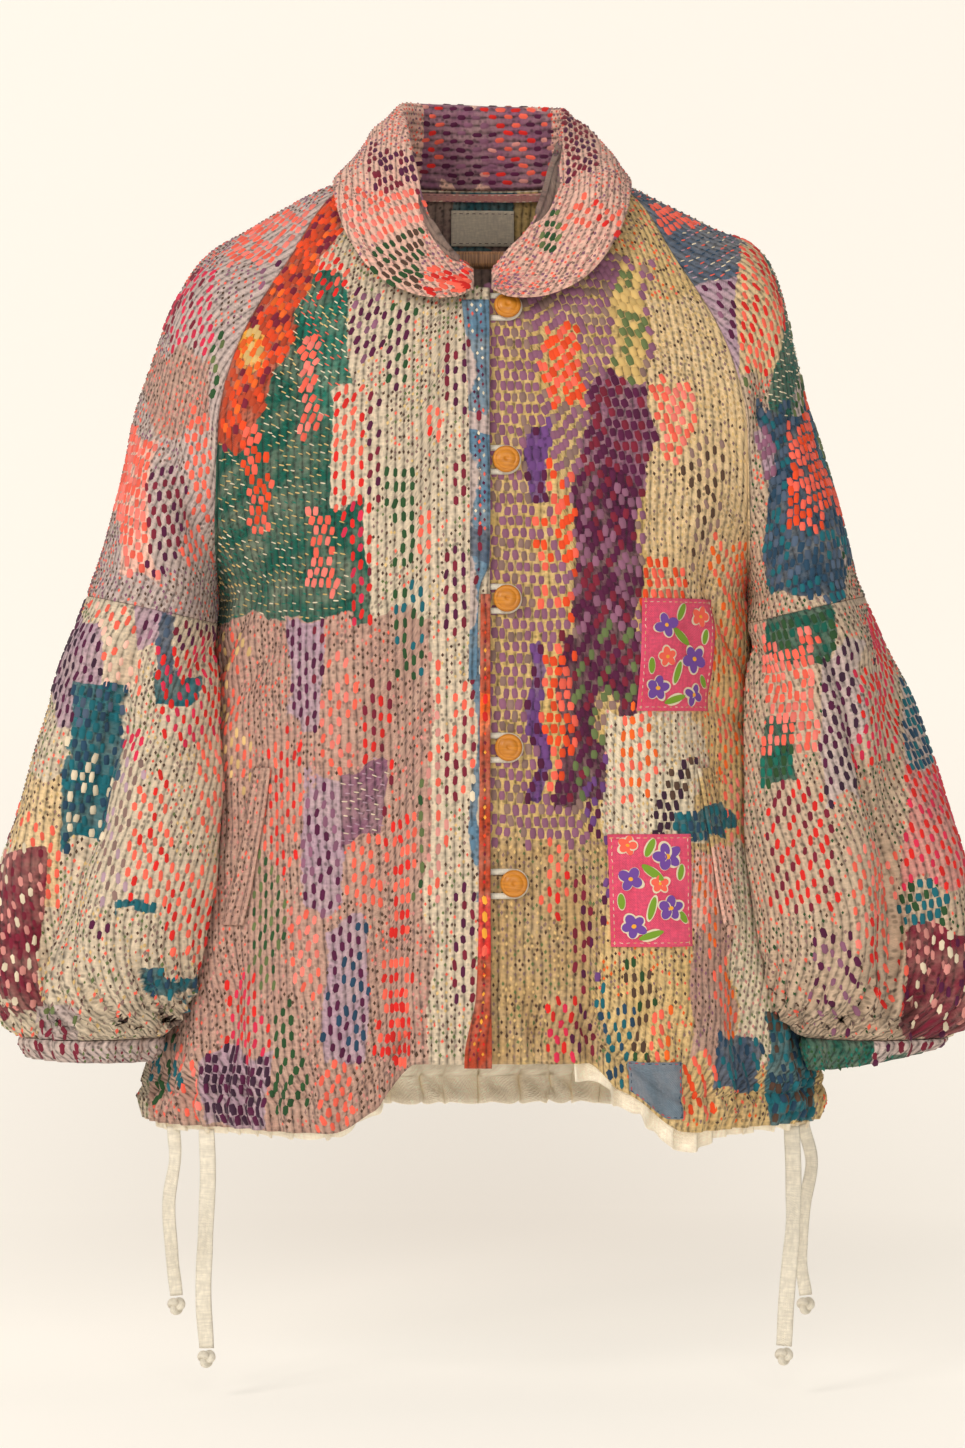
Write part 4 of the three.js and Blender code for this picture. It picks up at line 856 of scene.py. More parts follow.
# Creases of the sleeves: round from the top line (front negative) and down from the upper edge
SLEEVE_CREASES = {
    "upper": [
        Crease(-185, 300, -90, 190, 10, -3.0), Crease(-150, 310, -60, 240, 9, -2.2),
        Crease(-60, 120, -80, 230, 18, 1.8), Crease(150, 300, 80, 180, 10, -3.0),
        Crease(60, 250, 100, 300, 12, 2.0), Crease(10, 150, 20, 280, 20, -1.8),
    ],
    "lower": [
        Crease(-112, -10, -119, 330, 6.5, -4.5),
        Crease(-190, 20, -110, 100, 11, -3.2), Crease(-150, 40, -60, 60, 10, -2.4),
        Crease(-140, 300, -128, 190, 9, -3.4), Crease(-112, 302, -104, 220, 8, 2.6),
        Crease(-84, 304, -92, 200, 9, -3.2), Crease(-52, 304, -46, 230, 8, 2.4),
        Crease(-22, 304, -34, 180, 10, -3.0), Crease(14, 304, 20, 220, 8, 2.4),
        Crease(50, 304, 40, 190, 9, -3.0), Crease(90, 302, 100, 220, 8, 2.4),
        Crease(130, 300, 120, 190, 9, -3.2), Crease(172, 296, 180, 210, 8, -2.8),
        Crease(-180, 300, -170, 210, 8, -2.8), Crease(-70, 90, -80, 170, 16, 2.0),
        Crease(60, 40, 90, 130, 14, -2.4), Crease(160, 60, 110, 140, 12, -2.6),
    ],
}
COLLAR_CREASES = [
    Crease(70, -230, 120, -190, 10, -1.6), Crease(60, -120, 125, -90, 12, 1.6),
    Crease(60, 100, 120, 70, 11, -1.6), Crease(70, 210, 125, 180, 10, 1.8),
]


SIDE_SHIFT = 34


def edge_distance(cloth):
    a, b = cloth.across, cloth.along
    return np.minimum.reduce([
        np.abs(a - a[:, :1]), np.abs(a - a[:, -1:]), np.abs(b - b[:1]), np.abs(b - b[-1:]),
    ])


def relieve(cloth, creases, seed):
    """Raise a panel by its creases and puckers, which die away at its edges"""
    a, b = cloth.across, cloth.along
    height = creased(creases, a, b) + puckered(a, b, seed)
    cloth.raise_by(height * step(0.5, 20, edge_distance(cloth)))


def sleeve_panel(side, part, seed):
    if part == "upper":
        rows, count = np.linspace(0, SLEEVE_SEAM_T, 80), 104
    else:
        rows, count = np.linspace(SLEEVE_SEAM_T, 2, 76), 150
    u, t = grid(rows, np.linspace(0, 1, count))
    cloth = Cloth(sleeve_surface(side, u, t), middle=count // 2, turn=-side)
    sideways = SIDE_SHIFT * step(0.5, 1, 1 - np.abs(cloth.normals()[..., 1]))
    cloth.place[..., 0] += sideways * ripple(cloth.across, cloth.along, 46, seed + 5)
    cloth.place[..., 1] += sideways * ripple(cloth.across, cloth.along, 58, seed + 6)
    if part == "lower":
        phase = 2 * np.pi * cloth.across / 13 + 1.6 * ripple(cloth.across, cloth.along * 0.3, 34, seed)
        cloth.raise_by(2.3 * np.cos(phase) * step(1.68, 1.93, t) * step(2, 1.97, t))
    relieve(cloth, SLEEVE_CREASES[part], seed)
    return cloth


def cuff_panel(side):
    u, v = grid(np.linspace(0, 1, 7), np.linspace(0, 1, 190))
    return Cloth(cuff_surface(side, u, v), middle=95, turn=-side)


def collar_panel():
    """Collar with its columns from the neck seam to the edge, so that its quilting runs round the neck"""
    round_neck = np.linspace(-1, 1, 172)
    surface = collar_surface(round_neck, np.linspace(0, 1, 46))
    cloth = Cloth(surface.transpose(1, 0, 2), level=len(round_neck) // 2, turn=-1)
    relieve(cloth, COLLAR_CREASES, 61)
    return cloth


# Colour fields: ragged patches of thread and ground, by where they lie in the picture's frame

Area = namedtuple("Area", "left right top bottom lean ground threads style")
RAGGED = 6
WHOLE = (-900, 1900, -900, 2400, 0)


def area(left, right, top, bottom, lean, ground, threads, style="dash"):
    return Area(left, right, top, bottom, lean, ground, threads.split(), style)


def everywhere(ground, threads, style="seed"):
    return area(*WHOLE, ground, threads, style)


FRONT_RIGHT = [
    everywhere("oat", "umber moss taupe straw coral umber"),
    area(150, 430, 612, 1140, 0, "shell", "umber taupe rose coral umber", "seed"),
    area(190, 356, 276, 618, 0.1, "emerald", "straw cream jade gold", "running"),
    area(306, 350, 290, 420, 0.1, "jade", "straw cream coral", "running"),
    area(236, 302, 190, 445, -0.42, "rust", "vermilion orange rust maroon vermilion", "brick"),
    area(236, 264, 330, 366, 0, "amber", "gold orange", "brick"),
    area(243, 268, 420, 530, 0, None, "coral vermilion", "brick"),
    area(298, 320, 340, 440, 0, None, "coral salmon", "brick"),
    area(305, 338, 510, 590, 0, None, "coral salmon", "brick"),
    area(330, 362, 390, 505, 0, "oat", "red coral"),
    area(345, 372, 500, 620, 0, None, "red raspberry"),
    area(362, 376, 490, 620, 0, None, "red maroon"),
    area(320, 345, 250, 290, 0, None, "coral red"),
    area(352, 384, 290, 352, 0, None, "plum plum mauve"),
    area(365, 386, 390, 500, 0, None, "plum maroon"),
    area(385, 412, 300, 385, 0, None, "forest plum"),
    area(390, 415, 470, 570, 0, None, "forest"),
    area(395, 425, 590, 680, 0, None, "forest teal"),
    area(418, 442, 405, 445, 0, None, "coral red"),
    area(414, 432, 520, 562, 0, None, "coral"),
    area(445, 468, 350, 405, 0, None, "maroon plum"),
    area(444, 468, 450, 510, 0, None, "maroon"),
    area(444, 470, 555, 640, 0, None, "maroon plum"),
    area(448, 475, 680, 800, 0, None, "maroon coral"),
    area(455, 476, 890, 1000, 0, None, "maroon plum"),
    area(210, 248, 640, 780, 0, None, "straw coral"),
    area(290, 322, 620, 722, 0, "lilac", "plum plum maroon"),
    area(325, 354, 640, 765, 0, None, "coral salmon"),
    area(364, 391, 670, 805, 0, None, "red maroon"),
    area(264, 302, 740, 862, 0, None, "coral red"),
    area(304, 346, 780, 905, 0, "lilac", "plum mauve"),
    area(340, 384, 768, 838, 0, "mauve", "cream lilac", "running"),
    area(350, 381, 842, 905, 0, None, "coral"),
    area(390, 413, 820, 935, 0, None, "red coral"),
    area(246, 282, 860, 985, 0, None, "forest moss"),
    area(288, 321, 905, 1000, 0, None, "coral salmon"),
    area(323, 367, 925, 1062, 0, "lilac", "plum navy"),
    area(379, 411, 955, 1062, 0, None, "coral red"),
    area(222, 266, 985, 1062, 0, None, "red raspberry"),
    area(268, 302, 1010, 1110, 0, None, "forest"),
    area(318, 352, 1060, 1130, 0, None, "coral"),
    area(204, 266, 1052, 1130, 0, "lilac", "plum aubergine", "brick"),
    area(176, 206, 1050, 1130, 0, None, "coral salmon"),
    area(150, 178, 1030, 1090, 0, None, "forest teal"),
    area(414, 427, 760, 925, 0, None, "forest moss"),
    area(430, 444, 640, 900, 0, None, "coral rose"),
    area(473, 486, 640, 905, 0, "sky", "maroon sky cream"),
]

FRONT_LEFT = [
    everywhere("straw", "umber tan orange coral taupe"),
    area(484, 652, 262, 842, 0, "gold", "mauve mauve mauve taupe", "cell"),
    area(617, 642, 268, 382, 0, None, "moss gold", "cell"),
    area(545, 580, 322, 408, 0, None, "vermilion coral", "cell"),
    area(586, 650, 376, 486, 0, "mauve", "plum maroon plum", "cell"),
    area(574, 640, 470, 640, 0, "plum", "plum maroon mauve", "cell"),
    area(560, 640, 630, 806, 0, "plum", "plum maroon moss", "cell"),
    area(538, 576, 458, 612, 0, None, "coral vermilion mauve", "cell"),
    area(545, 573, 655, 786, 0, None, "coral vermilion", "cell"),
    area(594, 618, 690, 742, 0, "gold", "moss taupe", "cell"),
    area(528, 546, 418, 502, 0, "violet", "violet plum", "cell"),
    area(528, 545, 640, 802, 0, "violet", "violet plum", "cell"),
    area(588, 606, 756, 992, 0, None, "violet plum", "brick"),
    area(484, 602, 842, 1070, 0, "tan", "umber straw taupe moss", "seed"),
    area(540, 572, 842, 922, 0, None, "red coral"),
    area(545, 577, 998, 1064, 0, None, "red raspberry"),
    area(574, 592, 880, 1064, 0, None, "plum maroon"),
    area(648, 764, 296, 604, 0, "butter", "umber tan straw taupe", "seed"),
    area(650, 690, 382, 462, 0, None, "coral salmon", "brick"),
    area(640, 682, 558, 608, 0, None, "coral vermilion", "brick"),
    area(690, 722, 440, 562, 0, None, "taupe umber"),
    area(715, 748, 536, 764, 0, None, "orange coral"),
    area(604, 702, 712, 838, 0, "cream", "umber tan rose straw", "seed"),
    area(618, 652, 700, 802, 0, None, "orange coral"),
    area(658, 692, 768, 842, 0, None, "aubergine umber", "brick"),
    area(678, 736, 808, 836, 0, "teal", "teal navy", "brick"),
    area(736, 762, 778, 884, 0, None, "teal forest"),
    area(726, 747, 774, 856, 0, None, "coral salmon"),
    area(690, 742, 848, 962, 0, "blush", "orange coral umber", "seed"),
    area(690, 732, 928, 1064, 0, "shell", "taupe mauve umber", "seed"),
    area(720, 747, 950, 1054, 0, None, "coral orange"),
    area(628, 657, 958, 1064, 0, None, "forest umber"),
    area(734, 792, 848, 1064, 0, "cream", "moss taupe rose", "seed"),
    area(600, 630, 1000, 1110, 0, None, "teal navy"),
    area(714, 758, 1036, 1090, 0, "slate", "navy teal"),
    area(680, 718, 1056, 1120, 0, None, "coral vermilion"),
    area(766, 812, 1016, 1128, 0, "teal", "navy teal umber", "brick"),
    area(700, 716, 860, 960, 0, None, "orange coral"),
    area(650, 672, 1000, 1060, 0, None, "coral orange"),
]

# The back isn't in the picture: bands of the same kinds, in another order
BACK = [
    everywhere("oat", "umber taupe rose straw"),
    area(560, 860, -300, 420, 0.1, "shell", "umber taupe rose", "seed"),
    area(430, 560, 470, 900, 0, "butter", "umber straw taupe", "seed"),
    area(150, 330, 640, 960, 0, "ash", "taupe mauve rose", "seed"),
    area(250, 330, 300, 560, -0.2, "emerald", "cream jade", "running"),
    area(600, 700, 560, 900, 0.1, "gold", "mauve plum taupe", "cell"),
    area(330, 362, 200, 380, 0, None, "coral salmon"),
    area(390, 420, 260, 470, 0, None, "plum maroon"),
    area(450, 482, 120, 330, 0, None, "red coral"),
    area(520, 548, 220, 420, 0, None, "forest moss"),
    area(580, 610, 130, 300, 0, None, "coral orange"),
    area(650, 682, 260, 480, 0, None, "plum mauve"),
    area(340, 372, 520, 720, 0, None, "forest"),
    area(400, 430, 600, 790, 0, None, "red raspberry"),
    area(480, 512, 540, 700, 0, None, "orange coral"),
    area(540, 566, 700, 900, 0, None, "plum maroon"),
    area(200, 236, 700, 860, 0, None, "coral"),
    area(262, 296, 820, 1000, 0, None, "plum navy"),
    area(330, 366, 880, 1060, 0, None, "coral salmon"),
    area(410, 440, 900, 1060, 0, None, "teal forest"),
    area(470, 500, 860, 1010, 0, None, "red maroon"),
    area(590, 622, 960, 1100, 0, None, "coral red"),
    area(660, 700, 920, 1060, 0, "slate", "navy teal", "brick"),
    area(720, 752, 660, 900, 0, None, "orange amber"),
]
BACK_INSIDE = [
    everywhere("taupe", "ash umber rose"),
    area(446, 524, 186, 214, 0, "teal", "sky teal", "brick"),
    area(452, 498, 243, 257, 0, "teal", "sky navy", "brick"),
    area(514, 542, 196, 244, 0, "gold", "moss gold"),
]

SLEEVE_RIGHT_UPPER = [
    everywhere("ash", "umber mauve coral taupe"),
    area(205, 345, 185, 332, -0.35, "ash", "mauve umber coral", "seed"),
    area(232, 322, 206, 262, -0.4, None, "coral salmon", "brick"),
    area(170, 217, 276, 352, 0, None, "maroon raspberry"),
    area(150, 212, 350, 432, 0, "shell", "umber taupe rose coral", "seed"),
    area(116, 154, 438, 578, 0, "blush", "coral salmon", "brick"),
    area(184, 212, 398, 562, 0, None, "coral"),
    area(150, 182, 470, 572, 0, None, "plum maroon"),
    area(258, 290, 262, 330, 0, None, "plum mauve"),
    area(214, 240, 330, 420, 0, None, "moss forest"),
]
SLEEVE_RIGHT_LOWER = [
    everywhere("linen", "umber taupe coral moss straw"),
    area(134, 177, 572, 642, 0, "lilac", "plum mauve"),
    area(180, 217, 584, 662, 0, None, "plum maroon"),
    area(164, 180, 618, 692, 0, "slate", "navy slate", "brick"),
    area(157, 202, 676, 702, 0, "teal", "teal navy", "brick"),
    area(164, 227, 650, 742, 0, None, "raspberry red"),
    area(113, 137, 728, 762, 0, None, "raspberry"),
    area(198, 230, 738, 832, 0, None, "coral salmon"),
    area(98, 142, 758, 902, 0, None, "taupe lilac"),
    area(128, 172, 778, 902, 0, None, "red coral"),
    area(168, 227, 858, 962, 0, None, "coral red"),
    area(112, 154, 903, 914, 0, "teal", "teal", "brick"),
    area(146, 202, 976, 993, 0, "teal", "teal navy", "brick"),
    area(86, 110, 915, 945, 0, None, "plum"),
    area(98, 136, 598, 692, 0, None, "coral blush"),
    area(58, 101, 618, 724, 0, "lilac", "plum aubergine"),
    area(70, 121, 682, 772, 0, "teal", "navy teal slate", "brick"),
    area(56, 104, 752, 846, -0.2, "teal", "teal cream navy", "brick"),
    area(18, 62, 778, 902, 0, "butter", "umber straw taupe", "seed"),
    area(28, 62, 828, 902, 0, None, "coral"),
    area(-80, 44, 850, 1012, 0, "maroon", "rose maroon cream"),
    area(36, 78, 1000, 1060, 0, "ash", "maroon moss"),
]
SLEEVE_LEFT_UPPER = [
    everywhere("sand", "umber taupe coral forest"),
    area(622, 748, 186, 300, 0.35, "slate", "lilac navy coral cream", "running"),
    area(652, 684, 196, 232, 0, None, "coral", "brick"),
    area(686, 738, 282, 424, 0, "lilac", "plum mauve"),
    area(734, 752, 338, 424, 0, None, "moss forest"),
    area(738, 777, 252, 372, 0, "butter", "red coral"),
    area(774, 802, 248, 424, 0, "emerald", "jade cream", "running"),
    area(798, 862, 326, 562, 0, "ash", "forest moss"),
    area(762, 838, 408, 596, 0, "navy", "slate navy teal", "brick"),
    area(793, 824, 413, 532, 0, None, "coral vermilion", "brick"),
    area(756, 773, 438, 474, 0, "lilac", "mauve", "brick"),
    area(700, 740, 440, 560, 0, None, "coral orange"),
]
SLEEVE_LEFT_LOWER = [
    everywhere("sand", "umber taupe coral forest"),
    area(750, 793, 558, 644, 0, None, "salmon coral"),
    area(768, 832, 588, 664, 0, "emerald", "emerald forest", "brick"),
    area(763, 793, 718, 784, 0, "emerald", "jade forest", "brick"),
    area(763, 818, 640, 752, 0, None, "salmon coral", "brick"),
    area(773, 832, 778, 914, 0, None, "red maroon"),
    area(823, 864, 648, 802, 0, "ash", "plum aubergine"),
    area(858, 897, 668, 764, 0, None, "red raspberry"),
    area(868, 902, 578, 672, 0, None, "red raspberry"),
    area(846, 898, 848, 954, 0, None, "salmon coral"),
    area(813, 858, 928, 1034, 0, None, "plum mauve"),
    area(868, 908, 928, 1014, 0, None, "coral red"),
    area(903, 990, 758, 884, 0, "rose", "red raspberry"),
    area(904, 990, 678, 762, 0, "ash", "teal navy", "brick"),
    area(898, 952, 888, 932, 0, None, "teal forest", "brick"),
    area(903, 990, 928, 1040, 0, "maroon", "rose plum cream"),
]
CUFF_RIGHT = [everywhere("ash", "moss maroon taupe"), area(36, 78, 996, 1060, 0, None, "maroon")]
CUFF_LEFT = [everywhere("emerald", "forest jade"), area(870, 990, 1000, 1060, 0, "ash", "maroon plum")]
COLLAR_AREAS = [
    everywhere("blush", "coral rose mauve taupe"),
    area(418, 548, 100, 192, 0, "mauve", "coral rose red plum"),
    area(368, 432, 148, 192, 0, None, "plum maroon"),
    area(344, 422, 192, 242, 0, None, "coral salmon"),
    area(366, 422, 230, 292, 0, None, "forest umber"),
    area(425, 446, 120, 184, 0, None, "coral red"),
    area(446, 492, 108, 184, 0, None, "plum mauve"),
    area(500, 530, 112, 150, 0, None, "coral red"),
    area(563, 602, 108, 172, 0, None, "plum maroon"),
    area(598, 622, 205, 236, 0, None, "red coral"),
    area(540, 562, 212, 245, 0, None, "moss forest"),
    area(566, 592, 190, 232, 0, None, "coral"),
    area(430, 470, 262, 300, 0, None, "coral red"),
]


STRIP_AREAS = [
    everywhere("sky", "maroon coral cream plum"),
    area(455, 472, 330, 620, 0, "ash", "maroon rose"),
    area(470, 492, 400, 440, 0, "ash", "coral maroon"),
    area(470, 492, 520, 560, 0, "slate", "maroon cream"),
]
BINDING_AREAS = [
    everywhere("rust", "maroon amber red vermilion"),
    area(470, 500, 690, 730, 0, "orange", "red maroon"),
    area(460, 500, 900, 960, 0, "red", "coral amber"),
]


def ragged(place, seed):
    """Places moved a little to and fro, so that straight borders come out ragged"""
    x, y = place[..., 0], place[..., 1]
    across = x + RAGGED * ripple(x, y * 0.5, 24, seed)
    return across, y + 1.6 * RAGGED * ripple(x, y, 18, seed + 7)


def found_areas(areas, place, seed):
    """For each place, the last area that holds it"""
    x, y = ragged(place, seed)
    found = np.zeros(x.shape, int)
    for i, one in enumerate(areas[1:], 1):
        lean = one.lean * (y - (one.top + one.bottom) / 2)
        inside = (x > one.left + lean) & (x < one.right + lean) & (y > one.top) & (y < one.bottom)
        found = np.where(inside, i, found)
    return found


# Stitches: one low grain of thread each, on staggered rows

Style = namedtuple("Style", "length width height across along angle gaps form")
STYLES = {
    "dash": Style(8.4, 4.1, 1.3, 2 * ROW_PITCH, 5.6, 0, 0.04, "grain"),
    "seed": Style(4.4, 2.9, 0.9, ROW_PITCH, 3.1, 0, 0.1, "dot"),
    "cell": Style(7.6, 5.6, 0.9, 5.8, 7.8, 0, 0.03, "block"),
    "brick": Style(7.2, 5.0, 1.0, 5.8, 7.2, 0, 0.05, "block"),
    "running": Style(4.6, 1.2, 0.9, 5.4, 5.4, 82, 0.1, "grain"),
}
FORMS = {
    "grain": (
        [(-0.5, 0, 0), (-0.28, -0.5, 0), (0.28, -0.5, 0), (0.5, 0, 0), (0.28, 0.5, 0), (-0.28, 0.5, 0),
         (-0.24, 0, 1), (0.24, 0, 1)],
        [(0, 1, 6), (1, 2, 7), (1, 7, 6), (2, 3, 7), (3, 4, 7), (4, 5, 6), (4, 6, 7), (5, 0, 6)],
    ),
    "dot": (
        [(-0.5, 0, 0), (0, -0.5, 0), (0.5, 0, 0), (0, 0.5, 0), (0, 0, 1)],
        [(0, 1, 4), (1, 2, 4), (2, 3, 4), (3, 0, 4)],
    ),
    "block": (
        [(-0.5, -0.34, 0), (0, -0.5, 0), (0.5, -0.34, 0), (0.5, 0.34, 0), (0, 0.5, 0), (-0.5, 0.34, 0),
         (-0.3, -0.2, 1), (0.3, -0.2, 1), (0.3, 0.2, 1), (-0.3, 0.2, 1)],
        [(0, 1, 6), (1, 7, 6), (1, 2, 7), (2, 3, 7), (3, 8, 7), (3, 4, 8), (4, 9, 8), (4, 5, 9),
         (5, 0, 6), (5, 6, 9), (6, 7, 8), (6, 8, 9)],
    ),
    "petal": (
        [(0.5 * math.cos(k * math.pi / 7), 0.5 * math.sin(k * math.pi / 7), 0) for k in range(14)] + [(0, 0, 1)],
        [(k, (k + 1) % 14, 14) for k in range(14)],
    ),
}
SINK = 0.4


class Threads:
    """Gathers the grains of one panel, then makes them one mesh"""

    def __init__(self):
        self.points = []
        self.faces = []
        self.colours = []
        self.count = 0

    def add(self, style, place, along, out, colour, rng):
        """Grains at places, lying along a direction on a surface that faces out"""
        if len(place) == 0:
            return
        turn = np.radians(style.angle + rng.normal(0, 6, len(place)))
        across = unit(np.cross(out, along))
        lying = along * np.cos(turn)[:, None] + across * np.sin(turn)[:, None]
        beside = np.cross(out, lying)
        length = style.length * rng.uniform(0.82, 1.15, len(place))
        width = style.width * rng.uniform(0.85, 1.12, len(place))
        form, faces = (np.array(part) for part in FORMS[style.form])
        p = place[:, None] + lying[:, None] * (form[:, 0] * length[:, None])[..., None]
        p = p + beside[:, None] * (form[:, 1] * width[:, None])[..., None]
        sink = 0 if style.form == "petal" else SINK
        lift = style.height - sink if style.form == "petal" else 0
        p = p + out[:, None] * (form[:, 2] * (style.height + sink - lift) - sink + lift)[None, :, None]
        start = self.count + np.arange(len(place)) * len(form)
        self.points.append(p.reshape(-1, 3))
        self.faces.append((faces[None] + start[:, None, None]).reshape(-1, 3))
        self.colours.append(np.repeat(colour, len(form), axis=0))
        self.count += len(place) * len(form)

    def make(self, name, material):
        obj = new_object(name, np.concatenate(self.points), [np.concatenate(self.faces)])
        add_colour(obj, "Thread", np.concatenate(self.colours))
        obj.data.materials.append(material)
        return obj


def thread_colours(names, count, rng):
    inks = np.array([INK[name] for name in names])
    colour = inks[rng.integers(0, len(inks), count)]
    return colour * rng.uniform(0.82, 1.16, (count, 1))


def sew(cloth, areas, seed, inside=False, threads=None):
    """Sew a panel's staggered stitches, each in the style and colours of its area"""
    threads = threads or Threads()
    rng = np.random.default_rng(seed)
    normals = cloth.normals()
    if inside:
        normals = -normals
    p = cloth.points - (normals * 0 if not inside else -normals * SHELL)
    a, b, place = cloth.across, cloth.along, cloth.place
    corners = (slice(None, -1), slice(None, -1)), (slice(None, -1), slice(1, None)), (slice(1, None), slice(None, -1))
    for name, style in STYLES.items():
        used = [i for i, one in enumerate(areas) if one.style == name]
        if not used:
            continue
        for row in (0, 1):
            i = a / style.across + 0.5 * row
            j = (b / style.along + row) / 2
            i0, i1, i2 = (i[c] for c in corners)
            j0, j1, j2 = (j[c] for c in corners)
            want_i = np.ceil(np.minimum(np.minimum(i0, i1), i2))
            want_j = np.ceil(np.minimum(np.minimum(j0, j1), j2))
            det = (i1 - i0) * (j2 - j0) - (i2 - i0) * (j1 - j0)
            det = np.where(np.abs(det) < 1e-9, 1e-9, det)
            s = ((want_i - i0) * (j2 - j0) - (i2 - i0) * (want_j - j0)) / det
            t = ((i1 - i0) * (want_j - j0) - (want_i - i0) * (j1 - j0)) / det
            hit = (s >= 0) & (s < 1) & (t >= 0) & (t < 1)
            hit &= edge_distance(cloth)[corners[0]] > 3
            at = np.nonzero(hit)
            s, t = s[at], t[at]
            s = s + rng.normal(0, 0.12, len(s))
            t = t + rng.normal(0, 0.12, len(t))

            def between(values):
                v0, v1, v2 = (values[c][at] for c in corners)
                weight = (s[:, None], t[:, None])
                return v0 + (v1 - v0) * weight[0] + (v2 - v0) * weight[1]

            where = between(place)
            found = found_areas(areas, where, seed)
            keep = np.isin(found, used) & (rng.random(len(found)) > style.gaps)
            spot = between(p)[keep]
            out = unit(between(normals))[keep]
            down = p[1:, :-1] - p[:-1, :-1]
            along = unit(down[at][keep])
            found = found[keep]
            colour = np.zeros((len(found), 3))
            for k in used:
                mine = found == k
                colour[mine] = thread_colours(areas[k].threads, int(mine.sum()), rng)
            threads.add(style, spot, along, out, colour, rng)
    return threads


def sew_line(threads, points, out, style, names, seed):
    """A row of running stitches along a line of points"""
    rng = np.random.default_rng(seed)
    lengths = np.concatenate([[0], np.cumsum(np.linalg.norm(np.diff(points, axis=0), axis=1))])
    at = np.arange(style.along / 2, lengths[-1], style.along)
    spot = np.stack([np.interp(at, lengths, points[:, k]) for k in range(3)], axis=-1)
    face = unit(np.stack([np.interp(at, lengths, out[:, k]) for k in range(3)], axis=-1))
    ahead = np.stack([np.interp(at + 0.5, lengths, points[:, k]) for k in range(3)], axis=-1)
    behind = np.stack([np.interp(at - 0.5, lengths, points[:, k]) for k in range(3)], axis=-1)
    threads.add(style, spot, unit(ahead - behind), face, thread_colours(names, len(at), rng), rng)


TOPSTITCH = Style(3.4, 0.9, 0.5, 1, 4.6, 0, 0, "grain")


# Materials

class Wires:
    """Short words for placing and joining the nodes of one tree"""

    def __init__(self, tree):
        self.tree = tree

    def node(self, kind, **settings):
        node = self.tree.nodes.new(kind)
        for name, value in settings.items():
            setattr(node, name, value)
        return node

    def plug(self, value, socket):
        if isinstance(value, bpy.types.NodeSocket):
            self.tree.links.new(value, socket)
        else:
            socket.default_value = value

    def math(self, operation, a, b=0.0, c=0.0):
        node = self.node("ShaderNodeMath", operation=operation)
        for value, socket in zip((a, b, c), node.inputs):
            self.plug(value, socket)
        return node.outputs[0]

    def blend(self, factor, a, b, kind="MIX"):
        node = self.node("ShaderNodeMix", data_type="RGBA", blend_type=kind)
        self.plug(factor, node.inputs[0])
        self.plug(a, node.inputs[6])
        self.plug(b, node.inputs[7])
        return node.outputs[2]

    def range(self, value, low, high, to_low, to_high):
        node = self.node("ShaderNodeMapRange")
        for setting, socket in zip((value, low, high, to_low, to_high), node.inputs):
            self.plug(setting, socket)
        return node.outputs[0]

    def noise(self, vector, scale, detail=2.0, roughness=0.5):
        node = self.node("ShaderNodeTexNoise")
        self.plug(vector, node.inputs["Vector"])
        node.inputs["Scale"].default_value = scale
        node.inputs["Detail"].default_value = detail
        node.inputs["Roughness"].default_value = roughness
        return node.outputs["Fac"]

    def stretched(self, vector, x, y, z=1.0):
        node = self.node("ShaderNodeMapping")
        self.plug(vector, node.inputs["Vector"])
        node.inputs["Scale"].default_value = (x, y, z)
        return node.outputs[0]


def effect(name, inputs, outputs):
    """A new shader node group with named sockets: the wires, its input node and its output node"""
    tree = bpy.data.node_groups.new(name, "ShaderNodeTree")
    for label, kind, default in inputs:
        socket = tree.interface.new_socket(name=label, in_out="INPUT", socket_type=kind)
        if default is not None:
            socket.default_value = default
    for label, kind in outputs:
        tree.interface.new_socket(name=label, in_out="OUTPUT", socket_type=kind)
    wires = Wires(tree)
    return wires, wires.node("NodeGroupInput"), wires.node("NodeGroupOutput")


